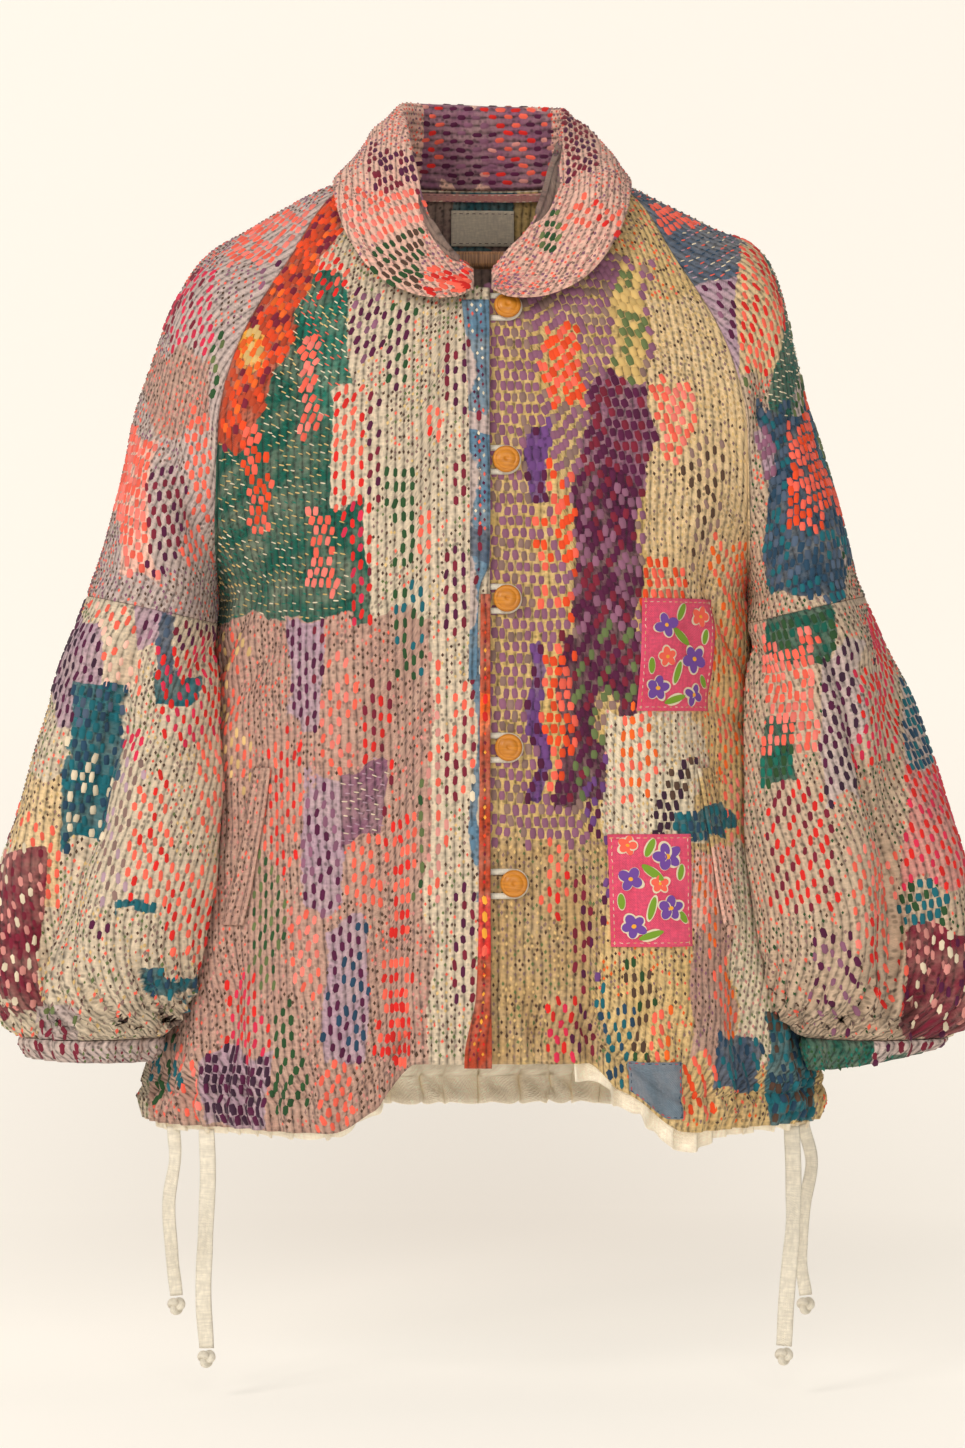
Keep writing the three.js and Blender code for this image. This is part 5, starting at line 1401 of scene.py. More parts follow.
def quilting_effect():
    """Ridges between rows of running stitches, pinched at each stitch, with painted shade that darkens the valleys
    between the ridges
    """
    if "Quilting rows" in bpy.data.node_groups:
        return bpy.data.node_groups["Quilting rows"]
    wires, given, out = effect(
        "Quilting rows",
        [("Flat", "NodeSocketVector", None), ("Pitch", "NodeSocketFloat", ROW_PITCH * METRE)],
        [("Height", "NodeSocketFloat"), ("Shade", "NodeSocketFloat")],
    )
    flat = given.outputs["Flat"]
    specks = wires.node("ShaderNodeTexVoronoi")
    wires.plug(wires.stretched(flat, 1.0, 0.85), specks.inputs["Vector"])
    specks.inputs["Scale"].default_value = 290
    specks.inputs["Randomness"].default_value = 0.55
    strong = wires.range(wires.noise(flat, 24.0, 2.0), 0.38, 0.62, 0.3, 1.0)
    dark = wires.math("MULTIPLY", wires.range(specks.outputs["Distance"], 0.2, 0.42, 0.62, 0.0), strong)
    drift = wires.noise(flat, 26.0, 2.0)
    parts = wires.node("ShaderNodeSeparateXYZ")
    wires.plug(flat, parts.inputs[0])
    across = wires.math("ADD", parts.outputs[0], wires.math("MULTIPLY", wires.math("SUBTRACT", drift, 0.5), 0.005))
    turns = wires.math("DIVIDE", wires.math("MULTIPLY", across, math.pi), given.outputs["Pitch"])
    row = wires.math("ABSOLUTE", wires.math("SINE", turns))
    ridge = wires.math("POWER", row, 0.6)
    along = wires.math("MULTIPLY", parts.outputs[1], 2 * math.pi / 0.0062)
    pinch = wires.math("SINE", wires.math("ADD", along, wires.math("MULTIPLY", drift, 30.0)))
    pinched = wires.math("MULTIPLY", pinch, wires.math("SUBTRACT", 1.0, ridge))
    lump = wires.noise(wires.stretched(flat, 1.0, 0.55), 150.0, 2.0)
    height = wires.math("ADD", ridge, wires.math("MULTIPLY", pinched, 0.35))
    height = wires.math("ADD", height, wires.math("MULTIPLY", lump, 0.9))
    wires.plug(height, out.inputs["Height"])
    # Painted shade: the colour is darker in the valleys between the ridges and lighter on their tops; the dark specks
    # multiplied in are the cloth's own flecks
    shade = wires.range(height, 0.35, 1.5, 0.45, 1.18)
    wires.plug(wires.math("MULTIPLY", shade, wires.math("SUBTRACT", 1.0, dark)), out.inputs["Shade"])
    return wires.tree


def weave_effect():
    """Fine plain weave: threads crossing over and under"""
    if "Plain weave" in bpy.data.node_groups:
        return bpy.data.node_groups["Plain weave"]
    wires, given, out = effect(
        "Plain weave",
        [("Flat", "NodeSocketVector", None), ("Thread", "NodeSocketFloat", 0.0008)],
        [("Height", "NodeSocketFloat"), ("Fleck", "NodeSocketFloat")],
    )
    flat = given.outputs["Flat"]
    parts = wires.node("ShaderNodeSeparateXYZ")
    wires.plug(flat, parts.inputs[0])
    turn = wires.math("DIVIDE", math.pi, given.outputs["Thread"])
    warp = wires.math("SINE", wires.math("MULTIPLY", parts.outputs[0], turn))
    weft = wires.math("SINE", wires.math("MULTIPLY", parts.outputs[1], turn))
    wires.plug(wires.math("MULTIPLY", warp, weft), out.inputs["Height"])
    slub = wires.noise(wires.stretched(flat, 1.0, 0.25), 700.0, 1.0)
    cross = wires.noise(wires.stretched(flat, 0.25, 1.0), 700.0, 1.0)
    wires.plug(wires.math("MULTIPLY", slub, cross), out.inputs["Fleck"])
    return wires.tree


def wear_effect():
    """Sun-fading and soft stains: a colour moved towards its worn shade in uneven patches"""
    if "Wear and fading" in bpy.data.node_groups:
        return bpy.data.node_groups["Wear and fading"]
    wires, given, out = effect(
        "Wear and fading",
        [
            ("Flat", "NodeSocketVector", None), ("Colour", "NodeSocketColor", (0.5, 0.5, 0.5, 1)),
            ("Worn", "NodeSocketColor", (0.7, 0.62, 0.5, 1)), ("Amount", "NodeSocketFloat", 0.3),
        ],
        [("Colour", "NodeSocketColor")],
    )
    patches = wires.noise(given.outputs["Flat"], 34.0, 4.0, 0.65)
    mask = wires.math("MULTIPLY", wires.range(patches, 0.42, 0.72, 0.0, 1.0), given.outputs["Amount"])
    wires.plug(wires.blend(mask, given.outputs["Colour"], given.outputs["Worn"]), out.inputs["Colour"])
    return wires.tree


def ragged_patch_effect():
    """One area of other cloth with frayed borders, laid over a colour"""
    if "Ragged patch" in bpy.data.node_groups:
        return bpy.data.node_groups["Ragged patch"]
    wires, given, out = effect(
        "Ragged patch",
        [
            ("Place", "NodeSocketVector", None), ("Middle", "NodeSocketVector", None),
            ("Half", "NodeSocketVector", None), ("Lean", "NodeSocketFloat", 0.0),
            ("Below", "NodeSocketColor", (0.5, 0.5, 0.5, 1)), ("Ink", "NodeSocketColor", (0.5, 0.5, 0.5, 1)),
        ],
        [("Colour", "NodeSocketColor")],
    )
    away = wires.node("ShaderNodeVectorMath", operation="SUBTRACT")
    wires.plug(given.outputs["Place"], away.inputs[0])
    wires.plug(given.outputs["Middle"], away.inputs[1])
    parts = wires.node("ShaderNodeSeparateXYZ")
    wires.plug(away.outputs[0], parts.inputs[0])
    half = wires.node("ShaderNodeSeparateXYZ")
    wires.plug(given.outputs["Half"], half.inputs[0])
    lean = wires.math("MULTIPLY", parts.outputs[1], given.outputs["Lean"])
    across = wires.math("ABSOLUTE", wires.math("SUBTRACT", parts.outputs[0], lean))
    beyond_x = wires.math("SUBTRACT", across, half.outputs[0])
    beyond_y = wires.math("SUBTRACT", wires.math("ABSOLUTE", parts.outputs[1]), half.outputs[1])
    beyond = wires.math("MAXIMUM", beyond_x, beyond_y)
    mask = wires.range(beyond, -0.0008, 0.0008, 1.0, 0.0)
    wires.plug(wires.blend(mask, given.outputs["Below"], given.outputs["Ink"]), out.inputs["Colour"])
    return wires.tree


def placed(wires, group, **inputs):
    node = wires.node("ShaderNodeGroup")
    node.node_tree = group
    for name, value in inputs.items():
        wires.plug(value, node.inputs[name])
    return node


def start_material(name, roughness, sheen=0.0):
    material = bpy.data.materials.new(name)
    material.use_nodes = True
    wires = Wires(material.node_tree)
    shader = next(n for n in material.node_tree.nodes if n.type == "BSDF_PRINCIPLED")
    shader.inputs["Roughness"].default_value = roughness
    shader.inputs["Sheen Weight"].default_value = sheen
    shader.inputs["Sheen Roughness"].default_value = 0.6
    shader.inputs["Specular IOR Level"].default_value = 0.25
    return material, wires, shader


def raised(wires, shader, height, distance, strength=1.0):
    bump = wires.node("ShaderNodeBump")
    bump.inputs["Strength"].default_value = strength
    bump.inputs["Distance"].default_value = distance
    wires.plug(height, bump.inputs["Height"])
    wires.plug(bump.outputs[0], shader.inputs["Normal"])


def quilted_material(name, areas, pitch=ROW_PITCH, depth=1.3, fade=0.3, dim=1.0):
    """Old cotton layers quilted in rows, patched with the areas that have a ground of their own"""
    material, wires, shader = start_material(name, 0.93, 0.12)
    flat = wires.node("ShaderNodeUVMap", uv_map="Cloth").outputs[0]
    place = wires.node("ShaderNodeUVMap", uv_map="Place").outputs[0]
    fray = wires.node("ShaderNodeTexNoise")
    wires.plug(flat, fray.inputs["Vector"])
    fray.inputs["Scale"].default_value = 170
    shift = wires.node("ShaderNodeVectorMath", operation="MULTIPLY_ADD")
    wires.plug(fray.outputs["Color"], shift.inputs[0])
    shift.inputs[1].default_value = (0.009, 0.014, 0)
    wires.plug(place, shift.inputs[2])
    centred = wires.node("ShaderNodeVectorMath", operation="SUBTRACT")
    wires.plug(shift.outputs[0], centred.inputs[0])
    centred.inputs[1].default_value = (0.0045, 0.007, 0)
    colour = (*INK[areas[0].ground], 1)
    for one in areas[1:]:
        if not one.ground:
            continue
        node = placed(wires, ragged_patch_effect(), Place=centred.outputs[0], Below=colour, Lean=one.lean)
        node.inputs["Middle"].default_value = (
            (one.left + one.right) / 2 * METRE, (one.top + one.bottom) / 2 * METRE, 0)
        node.inputs["Half"].default_value = (
            (one.right - one.left) / 2 * METRE, (one.bottom - one.top) / 2 * METRE, 0)
        node.inputs["Ink"].default_value = (*INK[one.ground], 1)
        colour = node.outputs[0]
    rows = placed(wires, quilting_effect(), Flat=flat, Pitch=pitch * METRE)
    weave = placed(wires, weave_effect(), Flat=flat)
    worn = placed(wires, wear_effect(), Flat=flat, Colour=colour, Amount=fade, Worn=(*INK["oat"], 1))
    # The quilting's painted shade, times the weave's random flecks, darkens the colour
    shade = wires.node("ShaderNodeCombineColor")
    # dim lowers the whole tone: painted shade, used for the inside of the panels
    fleck = wires.range(weave.outputs["Fleck"], 0.1, 0.45, 0.8 * dim, 1.12 * dim)
    tone = wires.math("MULTIPLY", rows.outputs["Shade"], fleck)
    for socket in shade.inputs:
        wires.plug(tone, socket)
    wires.plug(wires.blend(1.0, worn.outputs["Colour"], shade.outputs[0], "MULTIPLY"),
               shader.inputs["Base Color"])
    height = wires.math("ADD", rows.outputs["Height"], wires.math("MULTIPLY", weave.outputs["Height"], 0.12))
    raised(wires, shader, height, depth * METRE)
    return material


def thread_material():
    """Twisted cotton thread in the colours painted on the stitches"""
    if "Stitching thread" in bpy.data.materials:
        return bpy.data.materials["Stitching thread"]
    material, wires, shader = start_material("Stitching thread", 0.8, 0.1)
    painted = wires.node("ShaderNodeAttribute", attribute_name="Thread").outputs["Color"]
    wires.plug(painted, shader.inputs["Base Color"])
    return material


def cotton_material(name, colour, worn="oat", fade=0.25, thread=0.0008, roughness=0.9, painted_glow=0.0):
    """Plain cotton of one colour with a fine weave and some fading"""
    if name in bpy.data.materials:
        return bpy.data.materials[name]
    material, wires, shader = start_material(name, roughness, 0.1)
    flat = wires.node("ShaderNodeUVMap", uv_map="Cloth").outputs[0]
    weave = placed(wires, weave_effect(), Flat=flat, Thread=thread)
    faded = placed(wires, wear_effect(), Flat=flat, Colour=(*colour, 1), Worn=(*INK[worn], 1), Amount=fade)
    shade = wires.node("ShaderNodeCombineColor")
    tone = wires.range(weave.outputs["Fleck"], 0.1, 0.45, 0.82, 1.08)
    for socket in shade.inputs:
        wires.plug(tone, socket)
    wires.plug(wires.blend(1.0, faded.outputs["Colour"], shade.outputs[0], "MULTIPLY"),
               shader.inputs["Base Color"])
    # Painted light: a glow of its own, given only to the hem casing so that it shows bright in the shade under the
    # fronts
    shader.inputs["Emission Color"].default_value = (*INK["butter"], 1)
    shader.inputs["Emission Strength"].default_value = painted_glow
    raised(wires, shader, weave.outputs["Height"], 0.00025)
    return material


def wood_material(name, colour, dark, roughness, coat, scale, grained=0.75):
    """Turned or planed wood with grain that runs along the piece"""
    if name in bpy.data.materials:
        return bpy.data.materials[name]
    material, wires, shader = start_material(name, roughness)
    flat = wires.node("ShaderNodeUVMap", uv_map="Cloth").outputs[0]
    grain = wires.noise(wires.stretched(flat, 1.0, 9.0), scale, 5.0, 0.6)
    ring = wires.math("SINE", wires.math("MULTIPLY", grain, 34.0))
    mask = wires.range(ring, -1.0, 1.0, 0.0, grained)
    wires.plug(wires.blend(mask, (*colour, 1), (*dark, 1)), shader.inputs["Base Color"])
    shader.inputs["Coat Weight"].default_value = coat
    shader.inputs["Coat Roughness"].default_value = 0.25
    raised(wires, shader, grain, 0.0002)
    return material


def finish_piece(obj, slot, *nodes):
    """Join a piece to the jacket's body, in place of its solids; its finish, slot, is not used"""
    if nodes:
        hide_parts(*nodes)
    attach(obj, BODY)
    return obj


# Making the pieces

INSIDE = [everywhere("taupe", "ash umber rose")]


def quilted_piece(name, cloth, areas, slot, seed, inside=None, thickness=SHELL, extra=None):
    """A panel's shell in its patched colours, with its stitches, on the part's solid of the same name"""
    cloth.draw_back(EDGE_DRAW_BACK if thickness == SHELL else 0)
    label = name.replace("_", " ")
    materials = [
        quilted_material("Quilted " + label, areas),
        # The inside's tone is dimmed to 0.8 of the outside's: painted shade inside the jacket
        quilted_material("Inside of " + label, inside or INSIDE, dim=0.8),
    ]
    obj = shell(name + "_cloth", cloth, materials, thickness, min(EDGE_ROUNDING, thickness / 4), seed)
    threads = sew(cloth, areas, seed)
    if extra:
        extra(threads, cloth)
    stitches = threads.make(name + "_stitches", thread_material())
    finish_piece(obj, slot, name)
    finish_piece(stitches, slot)
    return obj


def cover(face, side, corner, columns, rows, lift, thickness):
    """Cloth that follows the creased body: corner gives x and z at a share across and up"""
    a, b = grid(np.linspace(0, 1, rows), np.linspace(0, 1, columns))
    x, z = corner(a, b)
    sides = np.where(x < 0, -1, 1) if side == 0 else side
    outer = lift + (thickness if lift > 0 else 0)
    points = on_cloth(np.abs(x) if side == 0 else x, z, face, sides, outer)
    turn = 1 if face < 0 and side > 0 else -1
    return Cloth(points, middle=columns // 2, turn=turn)


def sizes():
    return bpy.context.scene.jacket_sizes


def colours():
    return bpy.context.scene.jacket_colours


def shade_of(name, description, default):
    return bpy.props.FloatVectorProperty(
        name=name, description=description, default=default, min=0, max=1, size=3, subtype="COLOR",
    )


class JacketSizes(bpy.types.PropertyGroup):
    """Sizes that a user would change"""
    strip_thickness: bpy.props.FloatProperty(
        name="Edge strip", description="Thickness of the strips sewn down the front edge",
        default=0.0013, min=0.0006, max=0.003, unit="LENGTH")
    patch_thickness: bpy.props.FloatProperty(
        name="Patches", description="Thickness of the sewn-on patches",
        default=0.0011, min=0.0006, max=0.003, unit="LENGTH")
    pocket_thickness: bpy.props.FloatProperty(
        name="Pocket bands", description="Thickness of the bands at the pocket mouths",
        default=0.0015, min=0.0006, max=0.003, unit="LENGTH")
    button_radius: bpy.props.FloatProperty(
        name="Button radius", description="Radius of the wooden buttons",
        default=0.0092, min=0.006, max=0.011, unit="LENGTH")
    backdrop_distance: bpy.props.FloatProperty(
        name="Backdrop distance", description="How far behind the jacket the backdrop stands",
        default=1.5, min=0.8, max=3, unit="LENGTH")
    floor_height: bpy.props.FloatProperty(
        name="Floor height", description="Height of the floor under the hanging jacket",
        default=-0.79, min=-1.2, max=-0.78, unit="LENGTH")


class JacketColours(bpy.types.PropertyGroup):
    """Colours that a user would change"""
    cream: shade_of("Cream cotton", "Tapes, knots, loops and hem casing", linear(0.98, 0.95, 0.88))
    strip: shade_of("Front strip", "Light blue strip by the buttons", linear(0.40, 0.55, 0.68))
    binding: shade_of("Front binding", "Orange binding of the lower front edge", linear(0.86, 0.33, 0.13))
    patch_ground: shade_of("Floral patch", "Ground of the two flowered patches", linear(0.97, 0.36, 0.50))
    slate: shade_of("Slate patch", "Patch at the left hem", linear(0.47, 0.54, 0.60))
    label: shade_of("Label", "Blank woven label", linear(0.93, 0.88, 0.79))
    button_wood: shade_of("Button wood", "Amber wood of the buttons", linear(0.82, 0.53, 0.16))
    bar_wood: shade_of("Bar wood", "Wood of the hanging bar", linear(0.70, 0.50, 0.33))
    backdrop: shade_of("Backdrop", "Paper behind and under the jacket", linear(1.0, 0.975, 0.93))


# Operators

class JACKET_OT_camera(bpy.types.Operator):
    """Camera that looks straight at the front, as far off as the picture's"""
    bl_idname = "jacket.camera"
    bl_label = "Camera"

    def execute(self, context):
        data = bpy.data.cameras.new("Camera")
        data.sensor_fit = "VERTICAL"
        data.sensor_height = 24
        data.lens = 24 * PIXELS_PER_SLOPE / FRAME_HEIGHT
        data.clip_end = 50
        camera = bpy.data.objects.new("Camera", data)
        camera.location = (0, -CAMERA_DISTANCE * METRE, CAMERA_Z * METRE)
        camera.rotation_euler = (math.pi / 2, 0, 0)
        context.scene.collection.objects.link(camera)
        context.scene.camera = camera
        return {"FINISHED"}


def tape_rings(route, width, steps=44):
    """Cross-sections of a flat tape that turns and ripples a little on its way down"""
    controls = np.array(route, float)[:, None, :]
    centres = through(controls, np.linspace(0, 1, steps))[:, 0, :]
    ahead = unit(np.gradient(centres, axis=0))
    share = np.linspace(0, 1, steps)
    twist = np.radians(14 * np.sin(share * 7 + width) + 9 * np.sin(share * 17))
    east = unit(np.cross(np.array([0.0, 1.0, 0.0]), ahead))
    east = np.where((east[:, :1] < 0), -east, east)
    out = np.cross(east, ahead)
    across = east * np.cos(twist)[:, None] + out * np.sin(twist)[:, None]
    thin = np.cross(across, ahead)
    half, thick = width / 2, TAPE_THICKNESS / 2
    outline = np.array([
        (1, 0), (0.96, 0.6), (0.8, 1), (0.4, 1), (0, 0.92), (-0.4, 1), (-0.8, 1), (-0.96, 0.6),
        (-1, 0), (-0.96, -0.6), (-0.8, -1), (-0.4, -1), (0, -0.92), (0.4, -1), (0.8, -1), (0.96, -0.6),
    ])
    cup = 0.7 * np.sin(share * 9)[:, None]
    points = (
        centres[:, None]
        + across[:, None] * (outline[None, :, :1] * half)
        + thin[:, None] * (outline[None, :, 1:] * thick + (cup * outline[:, 0] ** 2)[..., None])
    )
    return centres, points


def tube(name, rings, closed_ends=True):
    """Closed tube through rings of points"""
    steps, around = rings.shape[:2]
    ids = np.arange(steps * around).reshape(steps, around)
    wrapped = np.concatenate([ids, ids[:, :1]], axis=1)
    points = rings.reshape(-1, 3)
    faces = [quads(wrapped)[:, ::-1]]
    if closed_ends:
        ends = np.array([rings[0].mean(axis=0), rings[-1].mean(axis=0)])
        first, last = len(points), len(points) + 1
        points = np.concatenate([points, ends])
        faces.append(np.stack([ids[0], np.roll(ids[0], -1), np.full(around, first)], axis=-1))
        faces.append(np.stack([np.roll(ids[-1], -1), ids[-1], np.full(around, last)], axis=-1))
    obj = new_object(name, points, faces)
    lengths = np.concatenate([[0], np.cumsum(np.linalg.norm(np.diff(rings.mean(axis=1), axis=0), axis=1))])
    turn = np.linspace(0, 1, around, endpoint=False) * 20
    flat = stack(*np.meshgrid(turn, lengths)).reshape(-1, 2) * METRE
    if closed_ends:
        flat = np.concatenate([flat, flat[:1], flat[-1:]])
    add_uv(obj, "Cloth", flat)
    return obj


def knot_mesh(name, x, y, z, width):
    """Overhand knot of tape: three wound ropes of cloth in a small ball"""
    turns = np.linspace(0, 2 * np.pi, 96, endpoint=False)
    radius = KNOT["radius"]
    tube_radius = 0.36 * radius
    reach = radius - tube_radius
    path = stack(
        reach * 0.5 * (np.sin(turns) + 2 * np.sin(2 * turns)) / 1.5,
        reach * 0.55 * -np.sin(3 * turns),
        reach * 0.5 * (np.cos(turns) - 2 * np.cos(2 * turns)) / 1.5,
    )
    ahead = unit(np.roll(path, -1, axis=0) - np.roll(path, 1, axis=0))
    side = unit(np.cross(ahead, unit(path + 0.01)))
    out = np.cross(side, ahead)
    ring = np.linspace(0, 2 * np.pi, 14, endpoint=False)
    rings = (
        path[:, None]
        + side[:, None] * (np.cos(ring)[None, :, None] * tube_radius * 1.15)
        + out[:, None] * (np.sin(ring)[None, :, None] * tube_radius * 0.85)
    )
    limit = np.array([radius, radius * KNOT["squashY"], radius * KNOT["squashZ"]])
    level = np.linalg.norm(rings / limit, axis=-1, keepdims=True)
    rings = rings / np.maximum(level, 1) * 0.985
    centre = np.array([x, y, z - KNOT["squashZ"] * radius - SEAM_GAP])
    rings = rings + centre
    closed = np.concatenate([rings, rings[:1]])
    return tube(name, closed, closed_ends=False)


class JACKET_OT_tapes(bpy.types.Operator):
    """The drawcord's four free ends below the hem, each with its knot"""
    bl_idname = "jacket.tapes"
    bl_label = "Tapes and knots"

    def execute(self, context):
        material = cotton_material("Cream cotton", colours().cream, "oat", 0.16)
        for i, (width, route) in enumerate(TAPES, 1):
            centres, rings = tape_rings(route, width)
            tape = tube(f"tape_{i}_cotton", rings)
            knot = knot_mesh(f"knot_{i}_cotton", *route[-1], width)
            for obj, node in ((tape, f"tape_{i}"), (knot, f"knot_{i}")):
                obj.data.materials.append(material)
                finish_piece(obj, "cream_cotton", node)
        return {"FINISHED"}


class JACKET_OT_body(bpy.types.Operator):
    """The two quilted fronts and the back, with their stitches"""
    bl_idname = "jacket.body"
    bl_label = "Fronts and back"

    def execute(self, context):
        quilted_piece("front_right", body_panel(-1, -1), FRONT_RIGHT, "cloth", 11)
        quilted_piece("front_left", body_panel(-1, 1), FRONT_LEFT, "cloth", 12)
        quilted_piece("back", body_panel(1, 1), BACK, "cloth", 13, BACK_INSIDE)
        return {"FINISHED"}


class JACKET_OT_sleeves(bpy.types.Operator):
    """Both raglan sleeves, each with its upper and lower part and its cuff band"""
    bl_idname = "jacket.sleeves"
    bl_label = "Sleeves and cuffs"

    def execute(self, context):
        parts = [
            ("sleeve_right_upper", sleeve_panel(-1, "upper", 31), SLEEVE_RIGHT_UPPER, 31),
            ("sleeve_right_lower", sleeve_panel(-1, "lower", 32), SLEEVE_RIGHT_LOWER, 32),
            ("sleeve_left_upper", sleeve_panel(1, "upper", 33), SLEEVE_LEFT_UPPER, 33),
            ("sleeve_left_lower", sleeve_panel(1, "lower", 34), SLEEVE_LEFT_LOWER, 34),
            ("cuff_right", cuff_panel(-1), CUFF_RIGHT, 35),
            ("cuff_left", cuff_panel(1), CUFF_LEFT, 36),
        ]
        for name, cloth, areas, seed in parts:
            quilted_piece(name, cloth, areas, "sleeve_cloth", seed)
        return {"FINISHED"}


class JACKET_OT_collar(bpy.types.Operator):
    """The rolled collar, its rows of quilting running round the neck"""
    bl_idname = "jacket.collar"
    bl_label = "Collar"

    def execute(self, context):
        def topstitched(threads, cloth):
            out = cloth.normals()
            for offset in (3, 5):
                line = (slice(2, -2), -offset)
                sew_line(threads, cloth.points[line], out[line], TOPSTITCH, ["maroon", "umber"], 52 + offset)

        quilted_piece("collar", collar_panel(), COLLAR_AREAS, "collar_cloth", 51, extra=topstitched)
        return {"FINISHED"}


def edge_cover(rows):
    low, high = rows["z"].min(), rows["z"].max()

    def corner(a, b):
        z = mix(low, high, b)
        return EDGE_X[-1] + mix(column(rows, "from", z), column(rows, "to", z), a), z

    return cover(-1, -1, corner, 9, int((high - low) / 2.4), 0.5, sizes().strip_thickness / METRE)


class JACKET_OT_front_edge(bpy.types.Operator):
    """Blue strip and orange binding down the right front's edge"""
    bl_idname = "jacket.front_edge"
    bl_label = "Front edge strips"

    def execute(self, context):
        thickness = sizes().strip_thickness / METRE
        for name, rows, slot, areas in (
            ("edge_strip", EDGE_STRIP, "blue_strip", STRIP_AREAS),
            ("edge_binding", EDGE_BINDING, "orange_binding", BINDING_AREAS),
        ):
            quilted_piece(name, edge_cover(rows), areas, slot, 71, thickness=thickness)
        return {"FINISHED"}


# The sewn-on patches of the left front: extent in x and z, lean, and lift off the cloth
Patch = namedtuple("Patch", "name slot x0 x1 z0 z1 lean lift")
PATCHES = [
    Patch("patch_pink_upper", "pink_patch", 104, 156, -321, -245, 4, 0.8),
    Patch("patch_pink_lower", "pink_patch", 85, 137, -479, -404, -2, 0.8),
    Patch("patch_slate", "slate_patch", 97, 131, -594, -556, 0, 1.5),
]
Flower = namedtuple("Flower", "across up radius petals turn ink")
Leaf = namedtuple("Leaf", "across up length width turn")
FLOWERS = {
    "patch_pink_upper": [
        Flower(0.3, 0.76, 8.5, 4, 20, "iris"), Flower(0.72, 0.46, 9.5, 5, 50, "iris"),
        Flower(0.24, 0.2, 8.5, 5, 10, "iris"), Flower(0.78, 0.84, 7, 5, 0, "coral"),
        Flower(0.34, 0.48, 7, 5, 30, "coral"), Flower(0.74, 0.14, 7.5, 4, 70, "iris"),
    ],
    "patch_pink_lower": [
        Flower(0.7, 0.8, 9.5, 5, 35, "iris"), Flower(0.26, 0.6, 8.5, 4, 60, "iris"),
        Flower(0.72, 0.34, 8.5, 5, 15, "iris"), Flower(0.24, 0.9, 6.5, 5, 0, "coral"),
        Flower(0.28, 0.18, 8.5, 5, 45, "iris"), Flower(0.6, 0.56, 6, 5, 20, "coral"),
    ],
}
LEAVES = [
    Leaf(0.5, 0.88, 14, 5, 60), Leaf(0.52, 0.66, 16, 5.5, -40), Leaf(0.5, 0.34, 15, 5, 70),
    Leaf(0.14, 0.4, 12, 4.5, 100), Leaf(0.48, 0.1, 16, 5, 20), Leaf(0.86, 0.66, 12, 4.5, 80),
    Leaf(0.88, 0.26, 11, 4.5, 120),
]
OUTLINE = 1.6


def print_flowers(threads, spot_on, flowers, width, height):
    """Ordinary broad-petalled flowers and leaves in flat shapes with pale outlines"""
    rng = np.random.default_rng(81)
    flat = Style(1, 1, 0, 1, 1, 0, 0, "petal")

    def lay(u, v, turn, length, wide, ink, lift):
        keep = (u > 0.06) & (u < 0.94) & (v > 0.04) & (v < 0.96)
        place, east, north, out = spot_on(u[keep], v[keep])
        way = unit(east * np.cos(turn[keep])[:, None] + north * np.sin(turn[keep])[:, None])
        colour = np.repeat([INK[ink]], int(keep.sum()), axis=0)
        shape = flat._replace(length=length, width=wide, height=lift)
        threads.add(shape, place, way, out, colour, rng)

    for leaf in LEAVES:
        u, v, turn = (np.array([value]) for value in (leaf.across, leaf.up, math.radians(leaf.turn)))
        lay(u, v, turn, leaf.length + OUTLINE, leaf.width + OUTLINE, "cream", 0.3)
        lay(u, v, turn, leaf.length, leaf.width, "leaf", 0.5)
    for flower in flowers:
        turn = math.radians(flower.turn) + np.arange(flower.petals) / flower.petals * 2 * np.pi
        reach = 0.5 * flower.radius
        u = flower.across + reach * np.cos(turn) / width
        v = flower.up + reach * np.sin(turn) / height
        long, wide = 1.05 * flower.radius, 0.78 * flower.radius
        lay(u, v, turn, long + OUTLINE, wide + OUTLINE, "cream", 0.6)
        lay(u, v, turn, long, wide, flower.ink, 0.8)
        heart = np.array([flower.across]), np.array([flower.up]), np.array([0.0])
        lay(*heart, 0.4 * flower.radius, 0.36 * flower.radius, "amber", 1.1)


